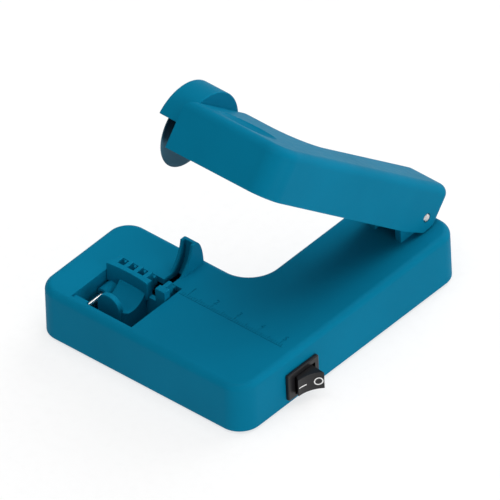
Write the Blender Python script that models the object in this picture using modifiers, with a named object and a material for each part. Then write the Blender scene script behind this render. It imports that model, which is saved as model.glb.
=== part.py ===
"""Bench creaser with a drop arm: hollow L-shaped base, sliding comb clamp, motor-driven wheel.

Units are metres. The shapes are laid out in the casing frame: its origin is the casing's
front left bottom corner, X runs along the front, Y to the back and Z up. One empty carries
that frame, so that the part's own origin lies under the middle of its bounding box.
The arm is laid out level, in a frame on the hinge axis, and an empty raises it.
"""
import math

import bmesh
import bpy
from mathutils import Matrix, Vector

MODEL_NAME = "bench_creaser"

# Where the part's origin lies in the casing frame, on the surface that the feet stand on.
ORIGIN_X = 0.04860
ORIGIN_Y = 0.05680
FOOT_DROP = 0.0010

# Casing.
BASE_WIDTH = 0.0900
BASE_DEPTH = 0.1100
DECK_Z = 0.0190
FRONT_LEG_DEPTH = 0.0456
SIDE_LEG_WIDTH = 0.0342
CORNER_RADIUS = 0.0080
NOTCH_RADIUS = 0.0112
TOP_FILLET = 0.0025
BASE_WALL = 0.0022
GAP = 0.0003
ARC_STEPS = 5

# Bottom cover, its screws and the feet.
COVER_LOW = 0.0003
COVER_HIGH = 0.0020
BOSS_RADIUS = 0.0026
SCREW_HOLE_RADIUS = 0.0013
SCREW_SHANK_RADIUS = 0.0009
SCREW_HEAD_RADIUS = 0.0018
BASE_SCREWS = [(0.0078, 0.0078), (0.0822, 0.0078), (0.0078, 0.0378), (0.0620, 0.1025), (0.0832, 0.1025)]
FOOT_RADIUS = 0.0042
FEET = [(0.0185, 0.0085), (0.0715, 0.0085), (0.0185, 0.0370), (0.0725, 0.1020)]

# Clamp well in the deck. The wheel turns in the plane at WHEEL_X.
WHEEL_X = 0.0339
WELL_LEFT = 0.0132
WELL_RIGHT = 0.0394
WELL_FRONT = 0.0033
WELL_BACK = 0.0286

# Slotted horn behind the well. Its front is an arc about the lowered wheel's centre.
HORN_X = 0.03325
HORN_HALF_WIDTH = 0.00275
HORN_SLOT_HALF = 0.0018
HORN_ARC_Y = 0.0233
HORN_ARC_Z = DECK_Z + 0.0122
HORN_RADIUS = 0.0153
HORN_SLOT_RADIUS = 0.0163
HORN_TOP_Z = DECK_Z + 0.0103
HORN_TOP_BACK_Y = 0.0402
HORN_FOOT_BACK_Y = 0.0436

# Comb. The jaw's fingers reach back above the deck's edge, and short deck fingers meet their tips.
TOOTH_PITCH = 0.0042
TOOTH_HALF = 0.0008
FIRST_JAW_TOOTH_X = 0.0155
FIRST_DECK_TOOTH_X = 0.0150
TOOTH_SLOTS = [0, 1, 2, 3, 5]
DECK_TOOTH_HALF = 0.00075
DECK_TOOTH_FRONT_Y = 0.0274

# Clamp jaw and its guide rod.
JAW_TOP_Z = DECK_Z + 0.0032
JAW_FRONT_Y = 0.0205
JAW_STRIP_BACK_Y = 0.0231
JAW_TOOTH_BACK_Y = 0.0265
JAW_BOTTOM_Z = 0.0040
WHEEL_GAP_LEFT = 0.0312
WHEEL_GAP_RIGHT = 0.0349
SLIDE_FIT = 0.0002
PIN_FIT = 0.0001
JOIN = 0.0010
DECK_ROOT_Z = DECK_Z - JOIN
LUG_HALF = 0.0030
LUG_BACK_LEFT = 0.0026
LUG_FRONT = (0.0015, 0.0055)
LUG_BACK = (0.0350, 0.0375)
ROD_HOLE = (0.0025, 0.0390)
ROD_FRONT_Y = 0.0028
ROD_BACK_Y = 0.0394
GROOVE = (0.0383, 0.0387)
GROOVE_RADIUS = 0.0009
DISH_RADIUS = 0.0085
HOOK_HALF = 0.0009
SPRING_POST_FOOT_Z = 0.0080
SPRING_POST_RADIUS = 0.0011
LEAD_X = 0.0704
LEAD_RADIUS = 0.0007
TERMINAL_OFFSET = 0.0035
PLATE_THICKNESS = 0.0004
ROD_X = 0.0158
ROD_Z = 0.0127
ROD_RADIUS = 0.0012
SLEEVE_RADIUS = 0.0025
SLEEVE_FRONT_Y = 0.0156
SADDLE_LEFT = 0.0190
SADDLE_RIGHT = 0.0302
SADDLE_FRONT_Y = 0.0092
SADDLE_BACK_Z = 0.0170
LIP_X = 0.0240
LIP_RADIUS = 0.0048
LIP_DEPTH = 0.0020
SPRING_X = 0.0245
SPRING_Z = 0.0095
SPRING_HOOK_Y = 0.0285
SPRING_POST_Y = 0.0415

# Rocker switch in the right wall.
SWITCH_Y = 0.0294
SWITCH_Z = 0.0073
BEZEL_HALF_Y = 0.00765
BEZEL_HALF_Z = 0.0052
BEZEL_PROUD = 0.0015
SWITCH_BODY_HALF_Y = 0.0064
SWITCH_BODY_HALF_Z = 0.0042
SWITCH_BODY_DEPTH = 0.0120
ROCKER_HALF_Y = 0.0048
ROCKER_HALF_Z = 0.0032
ROCKER_CREST = 0.0047
ROCKER_FACE_RADIUS = 0.0155
ROCKER_WAIST_HALF_Y = 0.0040
ROCKER_PIVOT_X = BASE_WIDTH + 0.0012
ROCKER_TILT = math.radians(19)

# Batteries in the side leg.
CELL_RADIUS = 0.0052
CELL_LENGTH = 0.0445
CELL_Z = 0.0088
CELL_X = [0.0672, 0.0784]
CELL_FRONT_Y = 0.0505
TRAY_WALL = 0.0010

# Hinge. The arm is raised by ARM_RAISE at rest.
HINGE_Y = 0.1016
HINGE_Z = 0.02475
ARM_RAISE = math.radians(40.2)
PIN_RADIUS = 0.0015
EAR_THICKNESS = 0.0026
EAR_RIGHT_X = 0.0802
EAR_LEFT_X = 0.0663
EAR_FRONT_Y = 0.0917
EAR_RADIUS = 0.0039
BUSH_RADIUS = 0.0023

# Arm, in its own level frame: +Y points back from the hinge and the head lies at -Y.
ARM_RIGHT_X = 0.0831
ARM_LEG_WIDTH = 0.0196
HEAD_LEFT_X = 0.0389
HEAD_FRONT_Y = -0.0963
HEAD_BACK_Y = -0.0605
ARM_BACK_Y = 0.0078
ARM_TOP = 0.0116
ARM_BOTTOM = -0.0062
ARM_WALL = 0.0020
ARM_FILLET = 0.0034
ARM_CORNER = 0.0085
ARM_NOTCH_RADIUS = 0.0112
HEEL_RADIUS = 0.0054
ARM_OPENING_Y = -0.0140
ARM_SCREWS = [(0.0470, -0.0915), (0.0430, -0.0650), (0.0770, -0.0200), (0.0765, -0.0905)]
RECESS_CENTRE = (0.0585, -0.0858)
RECESS_HALF_X = 0.0118
RECESS_HALF_Y = 0.0066
RECESS_DEPTH = 0.0020
RECESS_RIM = 0.0014

# Head: wheel guard, motor and wheel on one axis.
AXLE_Y = -0.0796
AXLE_Z = 0.0007
GUARD_RADIUS = 0.0163
GUARD_BORE = 0.0150
GUARD_LEFT_X = 0.0310
GUARD_RIGHT_X = 0.0416
GUARD_EDGE_Z = 0.0028
WHEEL_RADIUS = 0.0140
WHEEL_HALF_THICKNESS = 0.0005
MOTOR_FRONT_X = 0.0428
MOTOR_LENGTH = 0.0200
MOTOR_RADIUS = 0.0060
MOTOR_HALF_HEIGHT = 0.0046
WHEEL_BORE = 0.0017
NUT_RADIUS = 0.0030
ARBOR_LEFT = -0.0022
ARBOR_RIGHT = 0.0062
ARBOR_RADIUS = 0.0014
ARBOR_BOSS_RADIUS = 0.0022
ARBOR_PORT_RADIUS = 0.0028
FLANGE_RADIUS = 0.0040
FLANGE_THICKNESS = 0.0012
SHAFT_RADIUS = 0.00075

# Colours are linear RGB, each with its roughness and metallic value.
TEAL = ((0.0045, 0.165, 0.300), 0.42, 0.0)
BLACK_PLASTIC = ((0.012, 0.012, 0.013), 0.40, 0.0)
RUBBER = ((0.020, 0.020, 0.021), 0.85, 0.0)
STEEL = ((0.62, 0.61, 0.60), 0.25, 1.0)
DARK_STEEL = ((0.10, 0.10, 0.11), 0.22, 1.0)
BRASS = ((0.60, 0.42, 0.16), 0.30, 1.0)
CELL_WRAP = ((0.06, 0.24, 0.10), 0.40, 0.0)
LEAD_RED = ((0.35, 0.02, 0.02), 0.50, 0.0)


def clear_scene():
    for item in list(bpy.data.objects):
        bpy.data.objects.remove(item)


def make_collection(name):
    group = bpy.data.collections.new(name)
    bpy.context.scene.collection.children.link(group)
    return group


def make_empty(name, parent, location, rotation_x=0.0, rotation_z=0.0):
    empty = bpy.data.objects.new(name, None)
    empty.location = location
    empty.rotation_euler = (rotation_x, 0.0, rotation_z)
    empty.parent = parent
    PARTS.objects.link(empty)
    return empty


def make_material(name, look):
    colour, roughness, metallic = look
    material = bpy.data.materials.new(name)
    material.use_nodes = True
    shader = material.node_tree.nodes["Principled BSDF"]
    shader.inputs["Base Color"].default_value = (*colour, 1.0)
    shader.inputs["Roughness"].default_value = roughness
    shader.inputs["Metallic"].default_value = metallic
    return material


# ---- shapes ------------------------------------------------------------------------------

def mesh_object(name, mesh):
    item = bpy.data.objects.new(name, mesh)
    TOOLS.objects.link(item)
    item.hide_render = True
    item.display_type = "WIRE"
    return item


def block(low, high, name="block"):
    low, high = Vector(low), Vector(high)
    shape = bmesh.new()
    bmesh.ops.create_cube(shape, size=1.0)
    size = high - low
    bmesh.ops.transform(shape, matrix=Matrix.Diagonal((*size, 1.0)), verts=shape.verts)
    bmesh.ops.translate(shape, vec=(low + high) / 2, verts=shape.verts)
    mesh = bpy.data.meshes.new(name)
    shape.to_mesh(mesh)
    shape.free()
    return mesh_object(name, mesh)


def rod(start, end, radius, end_radius=None, sides=20, name="rod"):
    start, end = Vector(start), Vector(end)
    run = end - start
    turn = run.to_track_quat("Z", "Y").to_matrix().to_4x4()
    shape = bmesh.new()
    bmesh.ops.create_cone(
        shape, cap_ends=True, segments=sides, radius1=radius,
        radius2=radius if end_radius is None else end_radius, depth=run.length,
        matrix=Matrix.Translation((start + end) / 2) @ turn)
    mesh = bpy.data.meshes.new(name)
    shape.to_mesh(mesh)
    shape.free()
    return mesh_object(name, mesh)


def rounded(corners, steps=ARC_STEPS):
    """Outline points for corners given as (x, y, radius), each rounded with an arc."""
    points = []
    count = len(corners)
    for index, (x, y, radius) in enumerate(corners):
        here = Vector((x, y))
        before = (Vector(corners[index - 1][:2]) - here).normalized()
        after = (Vector(corners[(index + 1) % count][:2]) - here).normalized()
        if radius == 0.0:
            points.append(here)
            continue
        half = before.angle(after) / 2
        centre = here + (before + after).normalized() * radius / math.sin(half)
        first = here + before * radius / math.tan(half) - centre
        last = here + after * radius / math.tan(half) - centre
        sweep = first.angle_signed(last)
        for step in range(steps + 1):
            points.append(centre + Matrix.Rotation(-sweep * step / steps, 2) @ first)
    return points


def arc(centre, radius, start, end, steps):
    """Points on an arc, with its angles in degrees."""
    points = []
    for step in range(steps + 1):
        angle = math.radians(start + (end - start) * step / steps)
        points.append((centre[0] + radius * math.cos(angle), centre[1] + radius * math.sin(angle)))
    return points


def slab(points, low, high, name="slab"):
    """A flat outline as a filled 2D curve, made a mesh from low to high along Z."""
    curve = bpy.data.curves.new(name, "CURVE")
    curve.dimensions = "2D"
    curve.fill_mode = "BOTH"
    curve.extrude = (high - low) / 2
    spline = curve.splines.new("POLY")
    spline.points.add(len(points) - 1)
    for point, place in zip(spline.points, points):
        point.co = (place[0], place[1], 0.0, 1.0)
    spline.use_cyclic_u = True
    drawn = bpy.data.objects.new(name, curve)
    TOOLS.objects.link(drawn)
    mesh = to_mesh(drawn)
    mesh.transform(Matrix.Translation((0.0, 0.0, (low + high) / 2)))
    return mesh_object(name, mesh)


def to_mesh(drawn):
    """The mesh of a curve object with its caps welded; the curve is removed."""
    graph = bpy.context.evaluated_depsgraph_get()
    mesh = bpy.data.meshes.new_from_object(drawn.evaluated_get(graph))
    bpy.data.objects.remove(drawn)
    shape = bmesh.new()
    shape.from_mesh(mesh)
    bmesh.ops.remove_doubles(shape, verts=shape.verts, dist=1e-6)
    bmesh.ops.dissolve_limit(shape, angle_limit=0.001, verts=shape.verts, edges=shape.edges)
    bmesh.ops.recalc_face_normals(shape, faces=shape.faces)
    shape.to_mesh(mesh)
    shape.free()
    return mesh


def side_slab(points, left, right, name="side_slab"):
    """An outline in the Y-Z plane, extruded along X."""
    item = slab(points, left, right, name)
    item.data.transform(Matrix(((0, 0, 1, 0), (1, 0, 0, 0), (0, 1, 0, 0), (0, 0, 0, 1))))
    return item


def front_slab(points, front, back, name="front_slab"):
    """An outline in the X-Z plane, extruded along Y."""
    item = slab(points, -back, -front, name)
    item.data.transform(Matrix.Rotation(math.radians(90), 4, "X"))
    return item


def wire(points, radius, name="wire", sides=2):
    """A round wire through points, as a mesh."""
    curve = bpy.data.curves.new(name, "CURVE")
    curve.dimensions = "3D"
    curve.bevel_depth = radius
    curve.bevel_resolution = sides
    curve.use_fill_caps = True
    spline = curve.splines.new("POLY")
    spline.points.add(len(points) - 1)
    for point, place in zip(spline.points, points):
        point.co = (*place, 1.0)
    drawn = bpy.data.objects.new(name, curve)
    TOOLS.objects.link(drawn)
    return mesh_object(name, to_mesh(drawn))


def round_top(item, height, width, segments=3):
    """Rounds the edges of the face that lies at one height."""
    weights = item.data.attributes.new("bevel_weight_edge", "FLOAT", "EDGE")
    for edge in item.data.edges:
        ends = [item.data.vertices[index].co.z for index in edge.vertices]
        if all(abs(z - height) < 1e-6 for z in ends):
            weights.data[edge.index].value = 1.0
    bevel = item.modifiers.new("top_fillet", "BEVEL")
    bevel.limit_method = "WEIGHT"
    bevel.width = width
    bevel.segments = segments
    bevel.use_clamp_overlap = False


def combine(target, tool, operation):
    change = target.modifiers.new(operation.lower(), "BOOLEAN")
    change.operation = operation
    change.solver = "EXACT"
    change.object = tool


def cut(target, *tools):
    for tool in tools:
        combine(target, tool, "DIFFERENCE")


def add(target, *tools):
    for tool in tools:
        combine(target, tool, "UNION")


def finish(item, name, parent, look):
    """Turns a working shape into a named sub-part with its own material."""
    item.name = name
    item.data.name = name
    TOOLS.objects.unlink(item)
    PARTS.objects.link(item)
    item.hide_render = False
    item.display_type = "TEXTURED"
    item.parent = parent
    item.data.materials.clear()
    item.data.materials.append(make_material(name, look))
    item.data.shade_smooth()
    item.data.set_sharp_from_angle(angle=math.radians(35))
    for change in item.modifiers:
        if change.type == "BOOLEAN":
            adopt(change.object, parent)
    return item


def adopt(tool, parent):
    """A cutter, and any cutter of its own, moves in its target's frame."""
    if tool.parent is None:
        tool.parent = parent
        for change in tool.modifiers:
            if change.type == "BOOLEAN":
                adopt(change.object, parent)


def screw(name, parent, top, direction, length, look=STEEL):
    """A pan-head screw: top is the head's outer face and direction points into the work."""
    top, direction = Vector(top), Vector(direction)
    head_height = 0.0010
    head = rod(top, top + direction * head_height, SCREW_HEAD_RADIUS, sides=14)
    shank = rod(top + direction * head_height * 0.5, top + direction * length, SCREW_SHANK_RADIUS,
                sides=10)
    slot = block((-0.0003, -0.0013, -0.0004), (0.0003, 0.0013, 0.0004))
    slot.data.transform(Matrix.Translation(top) @ direction.to_track_quat("Z", "Y").to_matrix().to_4x4())
    add(head, shank)
    cut(head, slot)
    return finish(head, name, parent, look)


# ---- base --------------------------------------------------------------------------------

def base_outline(inset, steps=ARC_STEPS):
    low, right, back = inset, BASE_WIDTH - inset, BASE_DEPTH - inset
    inner_x = BASE_WIDTH - SIDE_LEG_WIDTH + inset
    inner_y = FRONT_LEG_DEPTH - inset
    outer = CORNER_RADIUS - inset
    notch = NOTCH_RADIUS + inset
    return rounded([
        (low, low, outer), (right, low, outer), (right, back, outer), (inner_x, back, outer),
        (inner_x, inner_y, notch), (low, inner_y, outer)], steps)


def ear(left):
    profile = [(EAR_FRONT_Y, DECK_ROOT_Z), (HINGE_Y + 0.0020, DECK_ROOT_Z),
               (HINGE_Y + 0.0022, DECK_Z), (HINGE_Y + EAR_RADIUS, HINGE_Z - 0.0036)]
    profile += arc((HINGE_Y, HINGE_Z), EAR_RADIUS, 0, 90, 4)
    profile += [(EAR_FRONT_Y + 0.0030, HINGE_Z + 0.0040), (EAR_FRONT_Y, HINGE_Z + 0.0015)]
    return side_slab(profile, left, left + EAR_THICKNESS)


def horn():
    low = DECK_ROOT_Z
    foot = math.degrees(math.asin((HORN_ARC_Z - low) / HORN_RADIUS))
    tip = math.degrees(math.asin((HORN_ARC_Z - HORN_TOP_Z) / HORN_RADIUS))
    profile = arc((HORN_ARC_Y, HORN_ARC_Z), HORN_RADIUS, -foot, -tip, 8)
    back_run = HORN_FOOT_BACK_Y - HORN_TOP_BACK_Y
    back_rise = HORN_TOP_Z - DECK_Z
    for step in range(5):
        angle = math.radians(90 * step / 4)
        profile.append((HORN_TOP_BACK_Y + back_run * math.sin(angle),
                        DECK_Z + back_rise * math.cos(angle)))
    profile.append((HORN_FOOT_BACK_Y, low))
    return side_slab(profile, HORN_X - HORN_HALF_WIDTH, HORN_X + HORN_HALF_WIDTH)


def horn_slot():
    return rod((HORN_X - HORN_SLOT_HALF, HORN_ARC_Y, HORN_ARC_Z),
               (HORN_X + HORN_SLOT_HALF, HORN_ARC_Y, HORN_ARC_Z), HORN_SLOT_RADIUS, sides=40)


def deck_teeth():
    teeth = []
    for index in TOOTH_SLOTS:
        x = FIRST_DECK_TOOTH_X + TOOTH_PITCH * index
        profile = [(DECK_TOOTH_FRONT_Y, DECK_Z - 0.0040), (WELL_BACK + 0.0004, DECK_Z - 0.0040),
                   (WELL_BACK + 0.0004, DECK_Z - 0.0002), (DECK_TOOTH_FRONT_Y, DECK_Z - 0.0002)]
        teeth.append(side_slab(profile, x - DECK_TOOTH_HALF, x + DECK_TOOTH_HALF))
    return teeth


def build_base_shell(frame):
    shell = slab(base_outline(0.0), 0.0, DECK_Z)
    round_top(shell, DECK_Z, TOP_FILLET)
    cut(shell, slab(base_outline(BASE_WALL), -0.0010, DECK_Z - BASE_WALL))
    cut(shell, block((WELL_LEFT, WELL_FRONT, 0.0050), (WELL_RIGHT, WELL_BACK, 0.0300)))
    add(shell, *deck_teeth())
    add(shell, horn())
    cut(shell, horn_slot())
    add(shell, ear(EAR_LEFT_X), ear(EAR_RIGHT_X - EAR_THICKNESS))
    bush_hole = BUSH_RADIUS + GAP
    cut(shell, rod((0.0600, HINGE_Y, HINGE_Z), (0.0850, HINGE_Y, HINGE_Z), bush_hole, sides=16))
    for x, y in BASE_SCREWS:
        add(shell, rod((x, y, COVER_HIGH + GAP), (x, y, DECK_ROOT_Z), BOSS_RADIUS, sides=14))
        cut(shell, rod((x, y, 0.0), (x, y, DECK_Z - 0.0030), SCREW_HOLE_RADIUS, sides=10))
    rod_front = block((ROD_X - LUG_HALF, LUG_FRONT[0], ROD_Z - LUG_HALF),
                      (ROD_X + LUG_HALF, LUG_FRONT[1], DECK_ROOT_Z))
    rod_back = block((ROD_X - LUG_BACK_LEFT, LUG_BACK[0], ROD_Z - LUG_HALF),
                     (ROD_X + LUG_HALF, LUG_BACK[1], DECK_ROOT_Z))
    spring_post = rod((SPRING_X, SPRING_POST_Y, SPRING_POST_FOOT_Z), (SPRING_X, SPRING_POST_Y, DECK_ROOT_Z),
                      SPRING_POST_RADIUS, sides=10)
    add(shell, rod_front, rod_back, spring_post)
    cut(shell, rod((ROD_X, ROD_HOLE[0], ROD_Z), (ROD_X, ROD_HOLE[1], ROD_Z),
        ROD_RADIUS + SLIDE_FIT, sides=16))
    cut(shell, block(
        (BASE_WIDTH - 0.0050, SWITCH_Y - SWITCH_BODY_HALF_Y - GAP, SWITCH_Z - SWITCH_BODY_HALF_Z - GAP),
        (BASE_WIDTH + 0.0050, SWITCH_Y + SWITCH_BODY_HALF_Y + GAP, SWITCH_Z + SWITCH_BODY_HALF_Z + GAP)))
    lead_hole = rod((LEAD_X, HINGE_Y, DECK_Z - 0.0090), (LEAD_X, HINGE_Y, DECK_Z + 0.0040),
                    LEAD_RADIUS * 2, sides=12)
    cut(shell, lead_hole)
    return finish(shell, "base_shell", frame, TEAL)


def build_bottom_cover(frame):
    cover = slab(base_outline(BASE_WALL + GAP), COVER_LOW, COVER_HIGH)
    for x, y in BASE_SCREWS:
        cut(cover, rod((x, y, -0.0010), (x, y, 0.0040), SCREW_HOLE_RADIUS, sides=14))
        cut(cover, rod((x, y, -0.0010), (x, y, COVER_LOW + 0.0011), SCREW_HEAD_RADIUS + GAP, sides=14))
    finish(cover, "bottom_cover", frame, TEAL)
    for index, (x, y) in enumerate(BASE_SCREWS, 1):
        screw(f"cover_screw_{index}", frame, (x, y, COVER_LOW), (0, 0, 1), 0.0100)
    for index, (x, y) in enumerate(FEET, 1):
        foot = rod((x, y, -FOOT_DROP), (x, y, COVER_LOW - GAP), FOOT_RADIUS * 0.9, FOOT_RADIUS, sides=24)
        finish(foot, f"foot_{index}", frame, RUBBER)


def build_hinge(frame):
    pin = rod((ARM_RIGHT_X - ARM_LEG_WIDTH + 0.0006, HINGE_Y, HINGE_Z), (ARM_RIGHT_X, HINGE_Y, HINGE_Z),
              PIN_RADIUS, sides=24)
    finish(pin, "hinge_pin", frame, STEEL)
    for name, left in (("hinge_bush_left", EAR_LEFT_X), ("hinge_bush_right", EAR_RIGHT_X - EAR_THICKNESS)):
        right = left + EAR_THICKNESS
        bush = rod((left, HINGE_Y, HINGE_Z), (right, HINGE_Y, HINGE_Z), BUSH_RADIUS, sides=16)
        cut(bush, rod((left - 0.0010, HINGE_Y, HINGE_Z), (right + 0.0014, HINGE_Y, HINGE_Z),
                      PIN_RADIUS + PIN_FIT, sides=24))
        finish(bush, name, frame, BRASS)
    finish(torsion_spring(), "return_spring", frame, DARK_STEEL)


def torsion_spring():
    """Coil about the hinge pin, with one tail towards the deck and one towards the arm's roof."""
    left, right, radius, turns, steps = 0.0725, 0.0765, 0.0027, 4, 10
    coil = []
    for step in range(turns * steps + 1):
        angle = 2 * math.pi * step / steps
        x = left + (right - left) * step / (turns * steps)
        coil.append((x, HINGE_Y - radius * math.cos(angle), HINGE_Z + radius * math.sin(angle)))
    deck_tail = (left, HINGE_Y - radius, DECK_Z + 0.0008)
    reach = 0.0085
    lean = ARM_RAISE
    roof_tail = (right, HINGE_Y - radius * math.cos(lean) + reach * math.sin(lean) * 0.8,
                 HINGE_Z + reach * math.cos(lean))
    return wire([deck_tail] + coil + [roof_tail], 0.00030)


def build_guide_rod(frame):
    guide = rod((ROD_X, ROD_FRONT_Y, ROD_Z), (ROD_X, ROD_BACK_Y, ROD_Z), ROD_RADIUS, sides=20)
    groove = rod((ROD_X, GROOVE[0], ROD_Z), (ROD_X, GROOVE[1], ROD_Z), ROD_RADIUS * 2.5, sides=20)
    cut(groove, rod((ROD_X, GROOVE[0] - 0.0003, ROD_Z), (ROD_X, GROOVE[1] + 0.0003, ROD_Z),
                    GROOVE_RADIUS, sides=20))
    cut(guide, groove)
    finish(guide, "guide_rod", frame, STEEL)


# ---- clamp -------------------------------------------------------------------------------

def build_clamp_jaw(frame):
    """Comb wall across the well, thumb saddle in front of it and a sleeve on the guide rod."""
    left, right = WELL_LEFT + 0.0004, WELL_RIGHT - 0.0004
    wall = block((left, JAW_FRONT_Y, JAW_BOTTOM_Z), (right, JAW_STRIP_BACK_Y, JAW_TOP_Z))
    tooth_root = JAW_STRIP_BACK_Y - 0.0005
    for index in TOOTH_SLOTS:
        x = FIRST_JAW_TOOTH_X + TOOTH_PITCH * index
        add(wall, block((x - TOOTH_HALF, tooth_root, DECK_Z - 0.0040),
                        (x + TOOTH_HALF, JAW_TOOTH_BACK_Y, JAW_TOP_Z)))
    cut(wall, block((WHEEL_GAP_LEFT, JAW_FRONT_Y - 0.0050, DECK_Z - 0.0045),
                    (WHEEL_GAP_RIGHT, JAW_TOOTH_BACK_Y + 0.0050, JAW_TOP_Z + 0.0050)))
    add(wall, *saddle())
    sleeve = rod((ROD_X, SLEEVE_FRONT_Y, ROD_Z), (ROD_X, JAW_FRONT_Y + JOIN, ROD_Z), SLEEVE_RADIUS, sides=20)
    add(wall, sleeve)
    cut(wall, rod((ROD_X, SLEEVE_FRONT_Y - 0.0056, ROD_Z), (ROD_X, JAW_TOOTH_BACK_Y + 0.0065, ROD_Z),
                  ROD_RADIUS + SLIDE_FIT, sides=20))
    add(wall, block((SPRING_X - HOOK_HALF, tooth_root, SPRING_Z - 0.0010),
                    (SPRING_X + HOOK_HALF, JAW_TOOTH_BACK_Y, SPRING_Z + 0.0005)))
    return finish(wall, "clamp_jaw", frame, TEAL)


def saddle():
    """Thumb grip: an arched, dished body with a half-round lip at its front."""
    middle = (SADDLE_LEFT + SADDLE_RIGHT) / 2
    half = (SADDLE_RIGHT - SADDLE_LEFT) / 2
    floor_z = 0.0080
    crown_z = SADDLE_BACK_Z + 0.0004
    arch = [(SADDLE_RIGHT, floor_z)] + arc((middle, crown_z - half), half, 0, 180, 10)
    arch.append((SADDLE_LEFT, floor_z))
    body = front_slab(arch, SADDLE_FRONT_Y + LIP_DEPTH * 0.5, JAW_FRONT_Y + JOIN)
    dish_y = (SADDLE_FRONT_Y + LIP_DEPTH + JAW_FRONT_Y) / 2
    dish_z = DECK_Z + 0.0050
    cut(body, rod((SADDLE_LEFT - 0.0030, dish_y, dish_z), (SADDLE_RIGHT + 0.0030, dish_y, dish_z),
                  DISH_RADIUS, sides=32))
    lip_z = DECK_Z + 0.0015 - LIP_RADIUS
    lip_outline = [(LIP_X + LIP_RADIUS, floor_z)] + arc((LIP_X, lip_z), LIP_RADIUS, 0, 180, 10)
    lip_outline.append((LIP_X - LIP_RADIUS, floor_z))
    lip = front_slab(lip_outline, SADDLE_FRONT_Y, SADDLE_FRONT_Y + LIP_DEPTH)
    return body, lip


def build_clamp_spring(frame):
    """Extension spring below the deck, which pulls the jaw's comb against the deck's teeth."""
    start, end, radius, turns, steps = SPRING_HOOK_Y, SPRING_POST_Y - 0.0016, 0.0016, 8, 8
    points = []
    for step in range(turns * steps + 1):
        angle = 2 * math.pi * step / steps
        y = start + (end - start) * step / (turns * steps)
        points.append((SPRING_X + radius * math.cos(angle), y, SPRING_Z + radius * math.sin(angle)))
    finish(wire(points, 0.00025), "clamp_spring", frame, DARK_STEEL)


# ---- switch and power --------------------------------------------------------------------

def build_switch(frame):
    bezel = block((BASE_WIDTH + GAP, SWITCH_Y - BEZEL_HALF_Y, SWITCH_Z - BEZEL_HALF_Z),
                  (BASE_WIDTH + BEZEL_PROUD, SWITCH_Y + BEZEL_HALF_Y, SWITCH_Z + BEZEL_HALF_Z))
    body_back = BASE_WIDTH - SWITCH_BODY_DEPTH
    body = block((body_back, SWITCH_Y - SWITCH_BODY_HALF_Y, SWITCH_Z - SWITCH_BODY_HALF_Z),
                 (BASE_WIDTH + JOIN, SWITCH_Y + SWITCH_BODY_HALF_Y, SWITCH_Z + SWITCH_BODY_HALF_Z))
    add(bezel, body)
    cavity = block((BASE_WIDTH - 0.0045, SWITCH_Y - ROCKER_HALF_Y - 0.0006, SWITCH_Z - ROCKER_HALF_Z - GAP),
                   (BASE_WIDTH + 0.0050, SWITCH_Y + ROCKER_HALF_Y + 0.0006, SWITCH_Z + ROCKER_HALF_Z + GAP))
    cut(bezel, cavity)
    finish(bezel, "switch_housing", frame, BLACK_PLASTIC)
    for index, offset in enumerate((-TERMINAL_OFFSET, TERMINAL_OFFSET), 1):
        back = body_back - GAP
        blade = block((back - 0.0055, SWITCH_Y + offset - 0.0011, SWITCH_Z - 0.0003),
                      (back, SWITCH_Y + offset + 0.0011, SWITCH_Z + 0.0003))
        finish(blade, f"switch_terminal_{index}", frame, BRASS)


def build_rocker(frame):
    """The rocker turns about an upright pivot; at rest its front half is pressed in."""
    pivot = make_empty("rocker_pivot", frame, (ROCKER_PIVOT_X, SWITCH_Y, SWITCH_Z), rotation_z=-ROCKER_TILT)
    face_centre_x = ROCKER_CREST + math.sqrt(ROCKER_FACE_RADIUS ** 2 - ROCKER_HALF_Y ** 2)
    half_sweep = math.degrees(math.asin(ROCKER_HALF_Y / ROCKER_FACE_RADIUS))
    face = arc((face_centre_x, 0.0), ROCKER_FACE_RADIUS, 180 + half_sweep, 180 - half_sweep, 6)
    inner = -0.0014
    outline = [(inner, -ROCKER_WAIST_HALF_Y)] + face + [(inner, ROCKER_WAIST_HALF_Y)]
    paddle = slab(outline, -ROCKER_HALF_Z, ROCKER_HALF_Z)
    finish(paddle, "switch_rocker", pivot, BLACK_PLASTIC)


def build_battery(frame):
    margin = GAP + TRAY_WALL
    low_x, high_x = CELL_X[0] - CELL_RADIUS - margin, CELL_X[1] + CELL_RADIUS + margin
    low_y, high_y = CELL_FRONT_Y - 0.0024, CELL_FRONT_Y + CELL_LENGTH + 0.0024
    floor_z = COVER_HIGH + GAP
    tray = block((low_x, low_y, floor_z), (high_x, high_y, CELL_Z + 0.0015))
    cut(tray, block((low_x + TRAY_WALL, low_y + TRAY_WALL, floor_z + 0.0010),
                    (high_x - TRAY_WALL, high_y - TRAY_WALL, 0.0300)))
    finish(tray, "battery_tray", frame, BLACK_PLASTIC)
    for index, x in enumerate(CELL_X, 1):
        back = CELL_FRONT_Y + CELL_LENGTH
        cell = rod((x, CELL_FRONT_Y + 0.0008, CELL_Z), (x, back, CELL_Z), CELL_RADIUS, sides=24)
        nose = rod((x, CELL_FRONT_Y, CELL_Z), (x, CELL_FRONT_Y + 0.0012, CELL_Z), 0.0019, sides=12)
        add(cell, nose)
        finish(cell, f"battery_cell_{index}", frame, CELL_WRAP)
    front_y = low_y + TRAY_WALL + GAP
    back_y = high_y - TRAY_WALL - GAP
    plates = (("battery_contact_front", front_y, front_y + PLATE_THICKNESS),
              ("battery_contact_rear", back_y - PLATE_THICKNESS, back_y))
    for name, front, back in plates:
        plate = block((CELL_X[0] - 0.0040, front, CELL_Z - 0.0050),
                      (CELL_X[1] + 0.0040, back, CELL_Z + 0.0045))
        finish(plate, name, frame, BRASS)


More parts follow.
